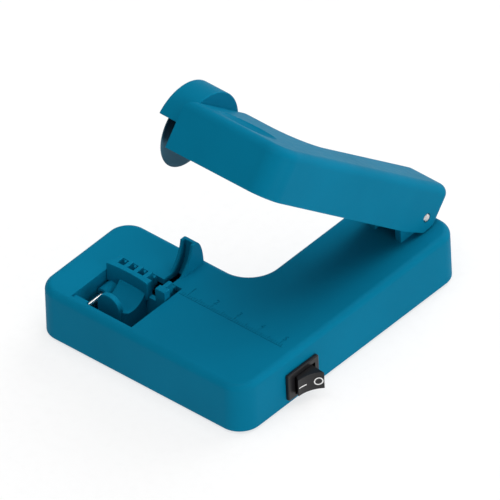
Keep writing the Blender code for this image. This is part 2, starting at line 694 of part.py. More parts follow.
def build_base_leads(frame):
    """Leads from the battery and the switch to the point where they enter the arm."""
    terminal_x = BASE_WIDTH - SWITCH_BODY_DEPTH - 0.0065
    height = 0.0150
    switch_run = [(terminal_x, SWITCH_Y - TERMINAL_OFFSET, SWITCH_Z),
                  (0.0700, 0.0262, 0.0100), (0.0640, 0.0300, 0.0140), (0.0600, 0.0400, height),
                      (0.0596, 0.0600, height), (0.0596, 0.0850, height),
                  (0.0625, 0.0970, height), (0.0680, 0.1008, 0.0146), (0.0702, HINGE_Y, 0.0158),
                  (LEAD_X, HINGE_Y, 0.0180), (LEAD_X, HINGE_Y, HINGE_Z - 0.0026)]
    finish(wire(switch_run, LEAD_RADIUS), "motor_lead_base", frame, LEAD_RED)
    battery_run = [(terminal_x, SWITCH_Y + TERMINAL_OFFSET, SWITCH_Z), (0.0702, 0.0345, 0.0076),
                   (0.0702, 0.0400, 0.0090), (0.0722, 0.0445, 0.0105), (0.0728, 0.0476, 0.0110)]
    finish(wire(battery_run, LEAD_RADIUS), "battery_lead", frame, BLACK_PLASTIC)


# ---- arm ---------------------------------------------------------------------------------

def arm_outline(inset):
    right, front, back = ARM_RIGHT_X - inset, HEAD_FRONT_Y + inset, ARM_BACK_Y - inset
    leg_left = ARM_RIGHT_X - ARM_LEG_WIDTH + inset
    head_left, head_back = HEAD_LEFT_X + inset, HEAD_BACK_Y - inset
    corner = ARM_CORNER - inset
    small = max(ARM_FILLET + 0.0003 - inset, 0.0)
    return rounded([
        (head_left, front, 0.0), (right, front, corner), (right, back, small), (leg_left, back, small),
        (leg_left, head_back, ARM_NOTCH_RADIUS + inset), (head_left, head_back, small)])


def heel_cutter():
    """Takes off what lies below and behind the heel, so that the arm clears the deck as it turns."""
    far, low = 0.0300, -0.0300
    heel = arc((0.0, 0.0), HEEL_RADIUS, 270, 292, 3)
    profile = [(-0.0100, ARM_BOTTOM)] + heel
    profile += [(ARM_BACK_Y + 0.0001, 0.0008), (far, 0.0008), (far, low), (-0.0100, low)]
    return side_slab(profile, 0.0500, 0.0900)


def oval(rim, low, high):
    """Upright oval plug, wider than the thumb recess by rim."""
    plug = rod((0.0, 0.0, low), (0.0, 0.0, high), 1.0, sides=32)
    shape = Matrix.Diagonal((RECESS_HALF_X + rim, RECESS_HALF_Y + rim, 1.0, 1.0))
    plug.data.transform(Matrix.Translation((*RECESS_CENTRE, 0.0)) @ shape)
    return plug


def build_arm_shell(arm):
    shell = slab(arm_outline(0.0), ARM_BOTTOM, ARM_TOP)
    round_top(shell, ARM_TOP, ARM_FILLET)
    axle = (AXLE_Y, AXLE_Z)
    guard = side_slab(guard_profile(axle), GUARD_LEFT_X, GUARD_RIGHT_X)
    add(shell, guard)
    cut(shell, slab(arm_outline(ARM_WALL), ARM_BOTTOM - 0.0050, ARM_TOP - ARM_WALL))
    cut(shell, rod((GUARD_LEFT_X - 0.0050, *axle), (HEAD_LEFT_X, *axle), GUARD_BORE, sides=36))
    cut(shell, rod((HEAD_LEFT_X - 0.0010, *axle), (HEAD_LEFT_X + 0.0040, *axle), ARBOR_PORT_RADIUS, sides=16))
    roof = ARM_TOP - ARM_WALL
    add(shell, oval(RECESS_RIM, roof - RECESS_DEPTH + 0.0004, roof + 0.0010))
    cut(shell, oval(0.0, ARM_TOP - RECESS_DEPTH, ARM_TOP + 0.0050))
    for x, y in ARM_SCREWS:
        add(shell, rod((x, y, ARM_BOTTOM + 0.0021), (x, y, ARM_TOP - 0.0010), BOSS_RADIUS * 0.9, sides=12))
        cut(shell, rod((x, y, ARM_BOTTOM), (x, y, ARM_TOP - 0.0030), SCREW_HOLE_RADIUS, sides=10))
    cut(shell, heel_cutter())
    cut(shell, rod((0.0500, 0.0, 0.0), (0.0900, 0.0, 0.0), PIN_RADIUS + SLIDE_FIT, sides=24))
    return finish(shell, "arm_shell", arm, TEAL)


def guard_profile(axle):
    """Upper part of the wheel guard: a round top that stops a little above the axle."""
    edge = math.degrees(math.asin((GUARD_EDGE_Z - axle[1]) / GUARD_RADIUS))
    return arc(axle, GUARD_RADIUS, edge, 180 - edge, 28)


def build_arm_cover(arm):
    """Plate that closes the arm's underside, from the head to just before the hinge."""
    low, high = ARM_BOTTOM + 0.0003, ARM_BOTTOM + 0.0018
    cover = slab(arm_outline(ARM_WALL + GAP), low, high)
    cut(cover, block((0.0500, ARM_OPENING_Y, -0.0200), (0.0900, 0.0200, 0.0100)))
    for x, y in ARM_SCREWS:
        cut(cover, rod((x, y, low - 0.0010), (x, y, high + 0.0010), SCREW_HOLE_RADIUS, sides=14))
        cut(cover, rod((x, y, low - 0.0010), (x, y, low + 0.0011), SCREW_HEAD_RADIUS + GAP, sides=14))
    finish(cover, "arm_cover", arm, TEAL)
    for index, (x, y) in enumerate(ARM_SCREWS, 1):
        screw(f"arm_screw_{index}", arm, (x, y, low - 0.0003), (0, 0, 1), 0.0080)


def build_motor(arm):
    back = MOTOR_FRONT_X + MOTOR_LENGTH
    can = rod((MOTOR_FRONT_X, AXLE_Y, AXLE_Z), (back, AXLE_Y, AXLE_Z), MOTOR_RADIUS, sides=28)
    for low, high in ((MOTOR_HALF_HEIGHT, 0.0100), (-0.0100, -MOTOR_HALF_HEIGHT)):
        cut(can, block((0.0400, AXLE_Y - 0.0100, AXLE_Z + low), (0.0700, AXLE_Y + 0.0100, AXLE_Z + high)))
    finish(can, "motor_can", arm, STEEL)
    cap_back = back + 0.0022
    cap = rod((back + GAP, AXLE_Y, AXLE_Z), (cap_back, AXLE_Y, AXLE_Z), MOTOR_RADIUS - 0.0013, sides=24)
    finish(cap, "motor_end_cap", arm, BLACK_PLASTIC)
    left, right = HEAD_LEFT_X + ARM_WALL + GAP, MOTOR_FRONT_X - GAP
    bracket = block((left, AXLE_Y - 0.0100, AXLE_Z - 0.0046), (right, AXLE_Y + 0.0100, AXLE_Z + 0.0070))
    cut(bracket, rod((left - 0.0010, AXLE_Y, AXLE_Z), (right + 0.0010, AXLE_Y, AXLE_Z),
                     ARBOR_PORT_RADIUS, sides=16))
    for index, side in enumerate((-0.0080, 0.0080), 1):
        y = AXLE_Y + side
        cut(bracket, rod((left - 0.0010, y, AXLE_Z), (right + 0.0010, y, AXLE_Z), 0.0012, sides=10))
        screw(f"motor_screw_{index}", arm, (right + 0.0013, y, AXLE_Z), (-1, 0, 0), 0.0024)
    finish(bracket, "motor_bracket", arm, DARK_STEEL)
    start = cap_back + 0.0009
    route = [(start, AXLE_Y + 0.0020, AXLE_Z + 0.0010), (start + 0.0030, AXLE_Y + 0.0040, 0.0030),
             (0.0715, -0.0680, 0.0040), (0.0720, -0.0500, 0.0040), (0.0710, -0.0300, 0.0040),
             (LEAD_X, -0.0120, 0.0020), (LEAD_X, -0.0060, 0.0005), (LEAD_X, -0.0032, 0.0)]
    finish(wire(route, LEAD_RADIUS), "motor_lead_arm", arm, LEAD_RED)


def build_wheel(arm):
    """Thin steel wheel on a turned arbor, which the motor's shaft drives."""
    axle = make_empty("wheel_axle", arm, (WHEEL_X, AXLE_Y, AXLE_Z))
    wheel = rod((-WHEEL_HALF_THICKNESS, 0, 0), (WHEEL_HALF_THICKNESS, 0, 0), WHEEL_RADIUS, sides=48)
    cut(wheel, rod((-0.0050, 0, 0), (0.0050, 0, 0), WHEEL_BORE, sides=16))
    finish(wheel, "wheel", axle, DARK_STEEL)
    flange_left = WHEEL_HALF_THICKNESS + GAP
    flange_middle = flange_left + FLANGE_THICKNESS / 2
    arbor = rod((flange_left, 0, 0), (flange_left + FLANGE_THICKNESS, 0, 0), FLANGE_RADIUS, sides=24)
    add(arbor, rod((ARBOR_LEFT, 0, 0), (flange_middle, 0, 0), ARBOR_RADIUS, sides=16))
    add(arbor, rod((flange_middle, 0, 0), (ARBOR_RIGHT, 0, 0), ARBOR_BOSS_RADIUS, sides=20))
    cut(arbor, rod((0.0030, 0, 0), (0.0080, 0, 0), SHAFT_RADIUS + GAP, sides=12))
    finish(arbor, "wheel_arbor", axle, STEEL)
    nut = rod((ARBOR_LEFT, 0, 0), (-WHEEL_HALF_THICKNESS - GAP, 0, 0), NUT_RADIUS, sides=6)
    cut(nut, rod((-0.0040, 0, 0), (0.0, 0, 0), WHEEL_BORE, sides=16))
    finish(nut, "wheel_nut", axle, STEEL)
    shaft = rod((0.0033, 0, 0), (MOTOR_FRONT_X - WHEEL_X - GAP, 0, 0), SHAFT_RADIUS, sides=12)
    finish(shaft, "motor_shaft", axle, STEEL)


def main():
    frame = make_empty("casing_frame", None, (-ORIGIN_X, -ORIGIN_Y, FOOT_DROP))
    build_base_shell(frame)
    build_bottom_cover(frame)
    build_hinge(frame)
    build_guide_rod(frame)
    build_clamp_jaw(frame)
    build_clamp_spring(frame)
    build_switch(frame)
    build_rocker(frame)
    build_battery(frame)
    build_base_leads(frame)
    arm = make_empty("arm_hinge", frame, (0.0, HINGE_Y, HINGE_Z), rotation_x=-ARM_RAISE)
    build_arm_shell(arm)
    build_arm_cover(arm)
    build_motor(arm)
    build_wheel(arm)


clear_scene()
PARTS = make_collection(MODEL_NAME)
TOOLS = make_collection("cutters")
main()
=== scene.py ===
import math

import bmesh
import bpy
from mathutils import Matrix, Vector


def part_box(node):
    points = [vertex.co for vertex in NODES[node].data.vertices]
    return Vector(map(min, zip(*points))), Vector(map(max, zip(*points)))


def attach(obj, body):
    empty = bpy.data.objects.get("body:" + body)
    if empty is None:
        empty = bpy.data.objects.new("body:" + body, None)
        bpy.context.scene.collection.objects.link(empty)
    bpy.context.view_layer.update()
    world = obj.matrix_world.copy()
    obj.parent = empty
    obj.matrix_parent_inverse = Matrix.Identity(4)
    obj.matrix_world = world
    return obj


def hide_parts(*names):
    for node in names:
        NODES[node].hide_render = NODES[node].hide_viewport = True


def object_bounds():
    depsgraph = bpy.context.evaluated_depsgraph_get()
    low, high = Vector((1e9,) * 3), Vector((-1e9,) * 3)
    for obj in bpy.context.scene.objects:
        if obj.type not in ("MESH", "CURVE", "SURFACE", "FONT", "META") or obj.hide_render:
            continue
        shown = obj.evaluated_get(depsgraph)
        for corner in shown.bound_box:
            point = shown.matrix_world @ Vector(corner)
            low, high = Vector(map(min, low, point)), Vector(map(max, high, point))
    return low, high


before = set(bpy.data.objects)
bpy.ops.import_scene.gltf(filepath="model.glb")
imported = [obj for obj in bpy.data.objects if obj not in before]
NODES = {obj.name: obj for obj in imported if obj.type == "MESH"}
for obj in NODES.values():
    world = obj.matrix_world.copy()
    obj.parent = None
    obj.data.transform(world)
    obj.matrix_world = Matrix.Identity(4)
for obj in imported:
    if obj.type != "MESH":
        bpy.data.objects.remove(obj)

cad_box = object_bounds()

# The casing frame: its origin is the casing's front left bottom corner, X right, Y back, Z up.
CASING_LOW = Vector(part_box("base_shell")[0])
CASING = Matrix.Translation(CASING_LOW)

# Casing, in the casing frame and in metres, as in the CAD.
BASE_WIDTH = 0.0900
BASE_DEPTH = 0.1100
DECK_Z = 0.0190
FRONT_LEG_DEPTH = 0.0456
SIDE_LEG_WIDTH = 0.0342
CORNER_RADIUS = 0.0080
NOTCH_RADIUS = 0.0112
TOP_FILLET = 0.0025
BASE_WALL = 0.0022
GAP = 0.0003
COVER_LOW = 0.0003
COVER_HIGH = 0.0020
BOSS_RADIUS = 0.0026
SCREW_HOLE_RADIUS = 0.0013
SCREW_SHANK_RADIUS = 0.0009
SCREW_HEAD_RADIUS = 0.0018
BASE_SCREWS = [(0.0078, 0.0078), (0.0822, 0.0078), (0.0078, 0.0378), (0.0620, 0.1025), (0.0832, 0.1025)]
FOOT_RADIUS = 0.0042
FEET = [(0.0185, 0.0085), (0.0715, 0.0085), (0.0185, 0.0370), (0.0725, 0.1020)]

# Clamp well, horn and comb.
WHEEL_X = 0.0339
WELL_LEFT = 0.0132
WELL_RIGHT = 0.0394
WELL_FRONT = 0.0033
WELL_BACK = 0.0286
WELL_WALL = 0.0014
WELL_FLOOR_Z = 0.0035
HORN_X = 0.03325
HORN_HALF_WIDTH = 0.00275
HORN_SLOT_HALF = 0.0018
HORN_ARC_Y = 0.0233
HORN_ARC_Z = DECK_Z + 0.0122
HORN_RADIUS = 0.0153
HORN_SLOT_Y = 0.0255
HORN_SLOT_Z = DECK_Z + 0.0075
HORN_SLOT_RADIUS = 0.01445
HORN_TOP_Z = DECK_Z + 0.0103
HORN_TOP_BACK_Y = 0.0402
HORN_FOOT_BACK_Y = 0.0436
TOOTH_PITCH = 0.0042
TOOTH_HALF = 0.0008
FIRST_JAW_TOOTH_X = 0.0155
FIRST_DECK_TOOTH_X = 0.0150
TOOTH_SLOTS = [0, 1, 2, 3, 5]
DECK_TOOTH_HALF = 0.00075
DECK_TOOTH_FRONT_Y = 0.0274
JAW_TOP_Z = DECK_Z + 0.0032
JAW_FRONT_Y = 0.0205
JAW_STRIP_BACK_Y = 0.0231
JAW_TOOTH_BACK_Y = 0.0265
JAW_BOTTOM_Z = 0.0040
WHEEL_GAP_LEFT = 0.0312
WHEEL_GAP_RIGHT = 0.0349
ROD_X = 0.0158
ROD_Z = 0.0127
ROD_RADIUS = 0.0012
SLEEVE_RADIUS = 0.0025
SLEEVE_FRONT_Y = 0.0156
SADDLE_LEFT = 0.0190
SADDLE_RIGHT = 0.0302
SADDLE_FRONT_Y = 0.0092
LIP_X = 0.0240
LIP_RADIUS = 0.0048
LIP_DEPTH = 0.0020
LIP_RISE = 0.0015
JAW_ROOT = 0.0015
JAW_SIDE_PLAY = 0.0004
SPRING_X = 0.0245
SPRING_Z = 0.0095
SPRING_HOOK_Y = 0.0285
SPRING_POST_Y = 0.0415

# Switch in the right wall.
SWITCH_Y = 0.0294
SWITCH_Z = 0.0073
BEZEL_HALF_Y = 0.00765
BEZEL_HALF_Z = 0.0052
BEZEL_PROUD = 0.0015
SWITCH_BODY_HALF_Y = 0.0064
SWITCH_BODY_HALF_Z = 0.0042
SWITCH_BODY_DEPTH = 0.0120
ROCKER_HALF_Y = 0.0048
ROCKER_MIDDLE_Y = 0.0005
ROCKER_LOW_Z = -0.0038
ROCKER_HIGH_Z = 0.0030
ROCKER_CREST = 0.0042
ROCKER_FACE_RADIUS = 0.0115
ROCKER_WAIST_HALF_Y = 0.0034
ROCKER_PIVOT_X = BASE_WIDTH + 0.0012
ROCKER_TILT = math.radians(23.8)
ROCKER_Y = SWITCH_Y + 0.0006
ROCKER_PLACE = Matrix.Translation((ROCKER_PIVOT_X, ROCKER_Y, SWITCH_Z))
ROCKER = CASING @ ROCKER_PLACE @ Matrix.Rotation(-ROCKER_TILT, 4, "Z")

# Hinge and arm. The arm is laid out level in its own frame and raised by ARM_RAISE.
HINGE_Y = 0.1016
HINGE_Z = 0.02475
ARM_RAISE = math.radians(40.2)
PIN_RADIUS = 0.0015
EAR_THICKNESS = 0.0026
EAR_RIGHT_X = 0.0802
EAR_LEFT_X = 0.0663
EAR_FRONT_Y = 0.0917
EAR_RADIUS = 0.0039
BUSH_RADIUS = 0.0023
ARM = CASING @ Matrix.Translation((0.0, HINGE_Y, HINGE_Z)) @ Matrix.Rotation(-ARM_RAISE, 4, "X")
ARM_RIGHT_X = 0.0831
ARM_LEG_WIDTH = 0.0196
HEAD_LEFT_X = 0.0389
HEAD_FRONT_Y = -0.0963
HEAD_BACK_Y = -0.0605
ARM_BACK_Y = 0.0078
ARM_TOP = 0.0116
ARM_BOTTOM = -0.0062
ARM_WALL = 0.0020
ARM_FILLET = 0.0034
ARM_CORNER = 0.0085
ARM_NOTCH_RADIUS = 0.0112
HEEL_RADIUS = 0.0054
ARM_LEG_CUT_LEFT = 0.0500
ARM_LEG_CUT_RIGHT = 0.0900
ARM_SCREWS = [(0.0470, -0.0915), (0.0430, -0.0650), (0.0770, -0.0200), (0.0765, -0.0905)]
RECESS_CENTRE = (0.0585, -0.0858)
RECESS_HALF_X = 0.0118
RECESS_HALF_Y = 0.0066
RECESS_DEPTH = 0.0020
RECESS_RIM = 0.0014
AXLE_Y = -0.0796
AXLE_Z = 0.0007
GUARD_RADIUS = 0.0163
GUARD_BORE = 0.0150
GUARD_LEFT_X = 0.0310
GUARD_RIGHT_X = 0.0416
GUARD_EDGE_Z = 0.0028
WHEEL_RADIUS = 0.0140
WHEEL_HALF_THICKNESS = 0.0005
WHEEL_BORE = 0.0017
MOTOR_FRONT_X = 0.0428
SHAFT_RADIUS = 0.00075
MOTOR_SCREW_TOP_X = MOTOR_FRONT_X - GAP + 0.0013
MOTOR_SCREW_REACH = 0.0080
COVER_SCREW_LENGTH = 0.0100
ARM_SCREW_LENGTH = 0.0080
MOTOR_SCREW_LENGTH = 0.0024
AXLE = ARM @ Matrix.Translation((WHEEL_X, AXLE_Y, AXLE_Z))

# Deck scale: its zero lies in the wheel's plane.
SCALE_ZERO_X = 0.0330
SCALE_LINE_Y = 0.0264
SCALE_FIRST_MM = 7
SCALE_LAST_MM = 52
SCALE_LINE_WIDTH = 0.00016
SCALE_DEPTH = 0.00018
SCALE_LAST_NUMBER = 5
TICK_GAP = 0.00012
CENTIMETRE_TICK = 0.0026
HALF_CENTIMETRE_TICK = 0.0020
MILLIMETRE_TICK = 0.0012
NUMERAL_Y = 0.0295
NUMERAL_SIZE = 0.0032

# Camera, at the viewing angle of the picture: parallel projection.
VIEW_AZIMUTH = math.radians(42.57)
VIEW_ELEVATION = math.radians(39.50)
VIEW_ROLL = math.radians(2.5)
VIEW_WIDTH = 0.16447
VIEW_CENTRE = CASING_LOW + Vector((0.04265, 0.0590, 0.0177))
VIEW_DISTANCE = 0.5

# Light: a faintly glowing floor, an even world, and three wide suns. Each sun is given as
# the direction towards it, its strength, and its apparent width in degrees.
FLOOR_HALF_SIZE = 2.0
FLOOR_GLOW = 0.70
WORLD_LIGHT = 0.30
SUNS = {
    "key": ((0.96, -0.12, 0.02), 2.0, 40),
    "top": ((0.05, -0.10, 0.99), 1.45, 50),
    "back": ((0.05, 0.85, 0.52), 1.65, 50)}

ARC_STEPS = 14
# How far a solid that is added to another runs into it.
OVERLAP = 0.0010


# ---- materials ---------------------------------------------------------------------------

# Noise scales of moulded plastic: flow marks, uneven gloss and the spark texture.
FLOW_SCALE = 35.0
GLOSS_SCALE = 420.0
SPARK_SCALE = 5200.0
SPARK_DEPTH = 0.00004
GLOSS_SPREAD = 0.07


def material(name, base, roughness, metallic=0.0, specular=0.5):
    made = bpy.data.materials.new(name)
    made.use_nodes = True
    shader = made.node_tree.nodes["Principled BSDF"]
    shader.inputs["Base Color"].default_value = (*base, 1.0)
    shader.inputs["Roughness"].default_value = roughness
    shader.inputs["Metallic"].default_value = metallic
    shader.inputs["Specular IOR Level"].default_value = specular
    return made, made.node_tree, shader


def add_node(tree, kind, **inputs):
    node = tree.nodes.new(kind)
    for key, value in inputs.items():
        node.inputs[key.replace("_", " ")].default_value = value
    return node


def place_coords(tree, stretch=(1.0, 1.0, 1.0)):
    coords = tree.nodes.new("ShaderNodeTexCoord")
    mapping = tree.nodes.new("ShaderNodeMapping")
    mapping.inputs["Scale"].default_value = stretch
    tree.links.new(coords.outputs["Object"], mapping.inputs["Vector"])
    return mapping.outputs["Vector"]


def noise(tree, vector, scale, detail=2.0):
    node = add_node(tree, "ShaderNodeTexNoise", Scale=scale, Detail=detail)
    tree.links.new(vector, node.inputs["Vector"])
    return node.outputs["Fac"]


def ramp(tree, factor, low, high, start=0.3, end=0.7):
    """Maps a factor to a colour between two colours."""
    node = tree.nodes.new("ShaderNodeValToRGB")
    node.color_ramp.elements[0].position = start
    node.color_ramp.elements[0].color = (*low, 1.0)
    node.color_ramp.elements[1].position = end
    node.color_ramp.elements[1].color = (*high, 1.0)
    tree.links.new(factor, node.inputs["Fac"])
    return node.outputs["Color"]


def spread(tree, factor, low, high):
    node = add_node(tree, "ShaderNodeMapRange")
    node.inputs["To Min"].default_value = low
    node.inputs["To Max"].default_value = high
    tree.links.new(factor, node.inputs["Value"])
    return node.outputs["Result"]


def bump(tree, shader, height, strength, distance):
    node = add_node(tree, "ShaderNodeBump", Strength=strength, Distance=distance)
    tree.links.new(height, node.inputs["Height"])
    tree.links.new(node.outputs["Normal"], shader.inputs["Normal"])


def shade(colour, factor):
    return tuple(min(1.0, channel * factor) for channel in colour)


def moulded_plastic(name, base, roughness, specular, variation=0.05, grain=0.12):
    """Injection-moulded plastic: a faint flow variation, a fine spark texture and uneven gloss."""
    made, tree, shader = material(name, base, roughness, specular=specular)
    where = place_coords(tree)
    flow = noise(tree, where, FLOW_SCALE, 3.0)
    tree.links.new(ramp(tree, flow, shade(base, 1.0 - variation), shade(base, 1.0 + variation)),
                   shader.inputs["Base Color"])
    gloss = noise(tree, where, GLOSS_SCALE)
    tree.links.new(spread(tree, gloss, roughness - GLOSS_SPREAD, roughness + GLOSS_SPREAD),
                   shader.inputs["Roughness"])
    bump(tree, shader, noise(tree, where, SPARK_SCALE, 3.0), grain, SPARK_DEPTH)
    return made


def brushed_metal(name, base, roughness, stretch, depth=0.10):
    """Turned or drawn metal: fine lines along one axis."""
    made, tree, shader = material(name, base, roughness, metallic=1.0)
    where = place_coords(tree, stretch)
    lines = noise(tree, where, 900.0, 4.0)
    tree.links.new(ramp(tree, lines, shade(base, 0.86), shade(base, 1.08)), shader.inputs["Base Color"])
    tree.links.new(spread(tree, lines, roughness - 0.06, roughness + 0.10), shader.inputs["Roughness"])
    bump(tree, shader, lines, depth, 0.00003)
    return made


def ground_steel():
    """Wheel disc: grinding rings round the axle, in a dark blue-grey that is painted shade and painted teal
    reflection laid over the steel.
    """
    made, tree, shader = material("steel_wheel", (0.05, 0.13, 0.18), 0.42, metallic=0.85)
    rings = add_node(tree, "ShaderNodeTexWave", Scale=900.0, Distortion=0.6, Detail=2.0)
    rings.wave_type = "RINGS"
    rings.rings_direction = "X"
    where = tree.nodes.new("ShaderNodeMapping")
    where.vector_type = "TEXTURE"
    where.inputs["Location"].default_value = AXLE.translation
    where.inputs["Rotation"].default_value = AXLE.to_euler()
    tree.links.new(place_coords(tree), where.inputs["Vector"])
    tree.links.new(where.outputs["Vector"], rings.inputs["Vector"])
    # The ring colours are painted shade and painted teal reflection, darker and bluer than bare steel.
    tree.links.new(ramp(tree, rings.outputs["Fac"], (0.035, 0.110, 0.155), (0.060, 0.150, 0.205)),
                   shader.inputs["Base Color"])
    tree.links.new(spread(tree, rings.outputs["Fac"], 0.38, 0.48), shader.inputs["Roughness"])
    bump(tree, shader, rings.outputs["Fac"], 0.05, 0.00002)
    return made


def rubber_material():
    made, tree, shader = material("rubber_black", (0.020, 0.020, 0.021), 0.82, specular=0.3)
    where = place_coords(tree)
    dust = noise(tree, where, 260.0, 5.0)
    clean, dusty = (0.015, 0.015, 0.016), (0.040, 0.040, 0.041)
    tree.links.new(ramp(tree, dust, clean, dusty), shader.inputs["Base Color"])
    bump(tree, shader, noise(tree, where, 2600.0, 4.0), 0.35, 0.00006)
    return made


def wrap_material(casing_low):
    """Battery sleeve: printed film with one pale band near the positive end, and fine creases."""
    band_start, band_edge = 0.0600, 0.0606
    made, tree, shader = material("cell_wrap", (0.06, 0.24, 0.10), 0.32)
    coords = tree.nodes.new("ShaderNodeTexCoord")
    split = tree.nodes.new("ShaderNodeSeparateXYZ")
    tree.links.new(coords.outputs["Object"], split.inputs["Vector"])
    band = tree.nodes.new("ShaderNodeMapRange")
    band.interpolation_type = "SMOOTHSTEP"
    band.inputs["From Min"].default_value = casing_low.y + band_start
    band.inputs["From Max"].default_value = casing_low.y + band_edge
    tree.links.new(split.outputs["Y"], band.inputs["Value"])
    pale, green = (0.62, 0.62, 0.58), (0.05, 0.22, 0.09)
    tree.links.new(ramp(tree, band.outputs["Result"], pale, green, 0.0, 1.0),
                   shader.inputs["Base Color"])
    bump(tree, shader, noise(tree, place_coords(tree, (1.0, 0.2, 1.0)), 700.0), 0.2, 0.00004)
    return made


def print_material():
    made, tree, shader = material("print_white", (0.80, 0.80, 0.79), 0.45)
    ink = noise(tree, place_coords(tree), 3000.0, 3.0)
    tree.links.new(ramp(tree, ink, (0.72, 0.72, 0.71), (0.86, 0.86, 0.85)), shader.inputs["Base Color"])
    return made


TEAL = moulded_plastic("teal_plastic", (0.0015, 0.160, 0.278), 0.46, 0.015)
BLACK = moulded_plastic("black_plastic", (0.010, 0.010, 0.011), 0.36, 0.30, 0.15, 0.2)
LEAD_RED = moulded_plastic("lead_insulation_red", (0.33, 0.018, 0.018), 0.45, 0.4)
LEAD_BLACK = moulded_plastic("lead_insulation_black", (0.014, 0.014, 0.015), 0.45, 0.4)
STEEL = brushed_metal("steel_turned", (0.66, 0.65, 0.64), 0.22, (6.0, 1.0, 1.0))
DRAWN_STEEL = brushed_metal("steel_drawn", (0.68, 0.67, 0.66), 0.16, (1.0, 0.08, 1.0))
SHEET_STEEL = brushed_metal("steel_sheet", (0.30, 0.30, 0.31), 0.34, (1.0, 1.0, 0.1))
SPRING_STEEL = brushed_metal("steel_spring", (0.12, 0.12, 0.13), 0.28, (1.0, 1.0, 1.0))
WHEEL_STEEL = ground_steel()
BRASS = brushed_metal("brass", (0.62, 0.43, 0.17), 0.28, (0.3, 1.0, 1.0))
RUBBER = rubber_material()
WRAP = wrap_material(CASING_LOW)
PRINT = print_material()


# ---- shapes ------------------------------------------------------------------------------

def mesh_object(mesh, name="shape"):
    item = bpy.data.objects.new(name, mesh)
    bpy.context.scene.collection.objects.link(item)
    return item


def from_bmesh(shape, name="shape"):
    mesh = bpy.data.meshes.new(name)
    shape.to_mesh(mesh)
    shape.free()
    return mesh_object(mesh, name)


def block(low, high):
    low, high = Vector(low), Vector(high)
    shape = bmesh.new()
    bmesh.ops.create_cube(shape, size=1.0)
    bmesh.ops.transform(shape, matrix=Matrix.Diagonal((*(high - low), 1.0)), verts=shape.verts)
    bmesh.ops.translate(shape, vec=(low + high) / 2, verts=shape.verts)
    return from_bmesh(shape)


def rod(start, end, radius, sides=48):
    start, end = Vector(start), Vector(end)
    run = end - start
    turn = run.to_track_quat("Z", "Y").to_matrix().to_4x4()
    shape = bmesh.new()
    bmesh.ops.create_cone(shape, cap_ends=True, segments=sides, radius1=radius, radius2=radius,
                          depth=run.length, matrix=Matrix.Translation((start + end) / 2) @ turn)
    return from_bmesh(shape)


def lathe(profile, sides=64):
    """Turns a closed or axis-to-axis profile of (x, radius) points about the X axis."""
    shape = bmesh.new()
    rings = []
    for x, radius in profile:
        count = 1 if radius == 0.0 else sides
        ring = []
        for step in range(count):
            angle = 2 * math.pi * step / sides
            ring.append(shape.verts.new((x, radius * math.cos(angle), radius * math.sin(angle))))
        rings.append(ring)
    if profile[0][1] > 0.0:
        rings.append(rings[0])
    for first, second in zip(rings, rings[1:]):
        for step in range(sides):
            after = (step + 1) % sides
            corners = []
            for vert in (first[step % len(first)], second[step % len(second)],
                         second[after % len(second)], first[after % len(first)]):
                if vert not in corners:
                    corners.append(vert)
            shape.faces.new(corners)
    bmesh.ops.recalc_face_normals(shape, faces=shape.faces)
    return from_bmesh(shape)


def turned(item, centre, axis="X"):
    """Moves a lathed shape from the X axis to a centre, along X, Y or Z."""
    turn = {"X": Matrix.Identity(4), "Y": Matrix.Rotation(math.radians(90), 4, "Z"),
            "Z": Matrix.Rotation(math.radians(-90), 4, "Y")}[axis]
    item.data.transform(Matrix.Translation(centre) @ turn)
    return item


def rounded(corners, steps=ARC_STEPS):
    """Outline points for corners given as (x, y, radius), each rounded with an arc."""
    points = []
    count = len(corners)
    for index, (x, y, radius) in enumerate(corners):
        here = Vector((x, y))
        before = (Vector(corners[index - 1][:2]) - here).normalized()
        after = (Vector(corners[(index + 1) % count][:2]) - here).normalized()
        if radius == 0.0:
            points.append(here)
            continue
        half = before.angle(after) / 2
        centre = here + (before + after).normalized() * radius / math.sin(half)
        first = here + before * radius / math.tan(half) - centre
        last = here + after * radius / math.tan(half) - centre
        sweep = first.angle_signed(last)
        for step in range(steps + 1):
            points.append(centre + Matrix.Rotation(-sweep * step / steps, 2) @ first)
    return points


def arc(centre, radius, start, end, steps):
    """Points on an arc, with its angles in degrees."""
    points = []
    for step in range(steps + 1):
        angle = math.radians(start + (end - start) * step / steps)
        points.append((centre[0] + radius * math.cos(angle), centre[1] + radius * math.sin(angle)))
    return points


def curve_mesh(curve):
    """The welded, closed mesh of a curve or text."""
    drawn = bpy.data.objects.new("drawn", curve)
    bpy.context.scene.collection.objects.link(drawn)
    graph = bpy.context.evaluated_depsgraph_get()
    mesh = bpy.data.meshes.new_from_object(drawn.evaluated_get(graph))
    bpy.data.objects.remove(drawn)
    shape = bmesh.new()
    shape.from_mesh(mesh)
    bmesh.ops.remove_doubles(shape, verts=shape.verts, dist=1e-6)
    bmesh.ops.dissolve_limit(shape, angle_limit=0.001, verts=shape.verts, edges=shape.edges)
    bmesh.ops.recalc_face_normals(shape, faces=shape.faces)
    shape.to_mesh(mesh)
    shape.free()
    return mesh


def slab(points, low, high):
    """A flat outline made a solid from low to high along Z."""
    curve = bpy.data.curves.new("outline", "CURVE")
    curve.dimensions = "2D"
    curve.fill_mode = "BOTH"
    curve.extrude = (high - low) / 2
    spline = curve.splines.new("POLY")
    spline.points.add(len(points) - 1)
    for point, place in zip(spline.points, points):
        point.co = (place[0], place[1], 0.0, 1.0)
    spline.use_cyclic_u = True
    mesh = curve_mesh(curve)
    mesh.transform(Matrix.Translation((0.0, 0.0, (low + high) / 2)))
    return mesh_object(mesh)


def side_slab(points, left, right):
    """An outline in the Y-Z plane, extruded along X."""
    item = slab(points, left, right)
    item.data.transform(Matrix(((0, 0, 1, 0), (1, 0, 0, 0), (0, 1, 0, 0), (0, 0, 0, 1))))
    return item


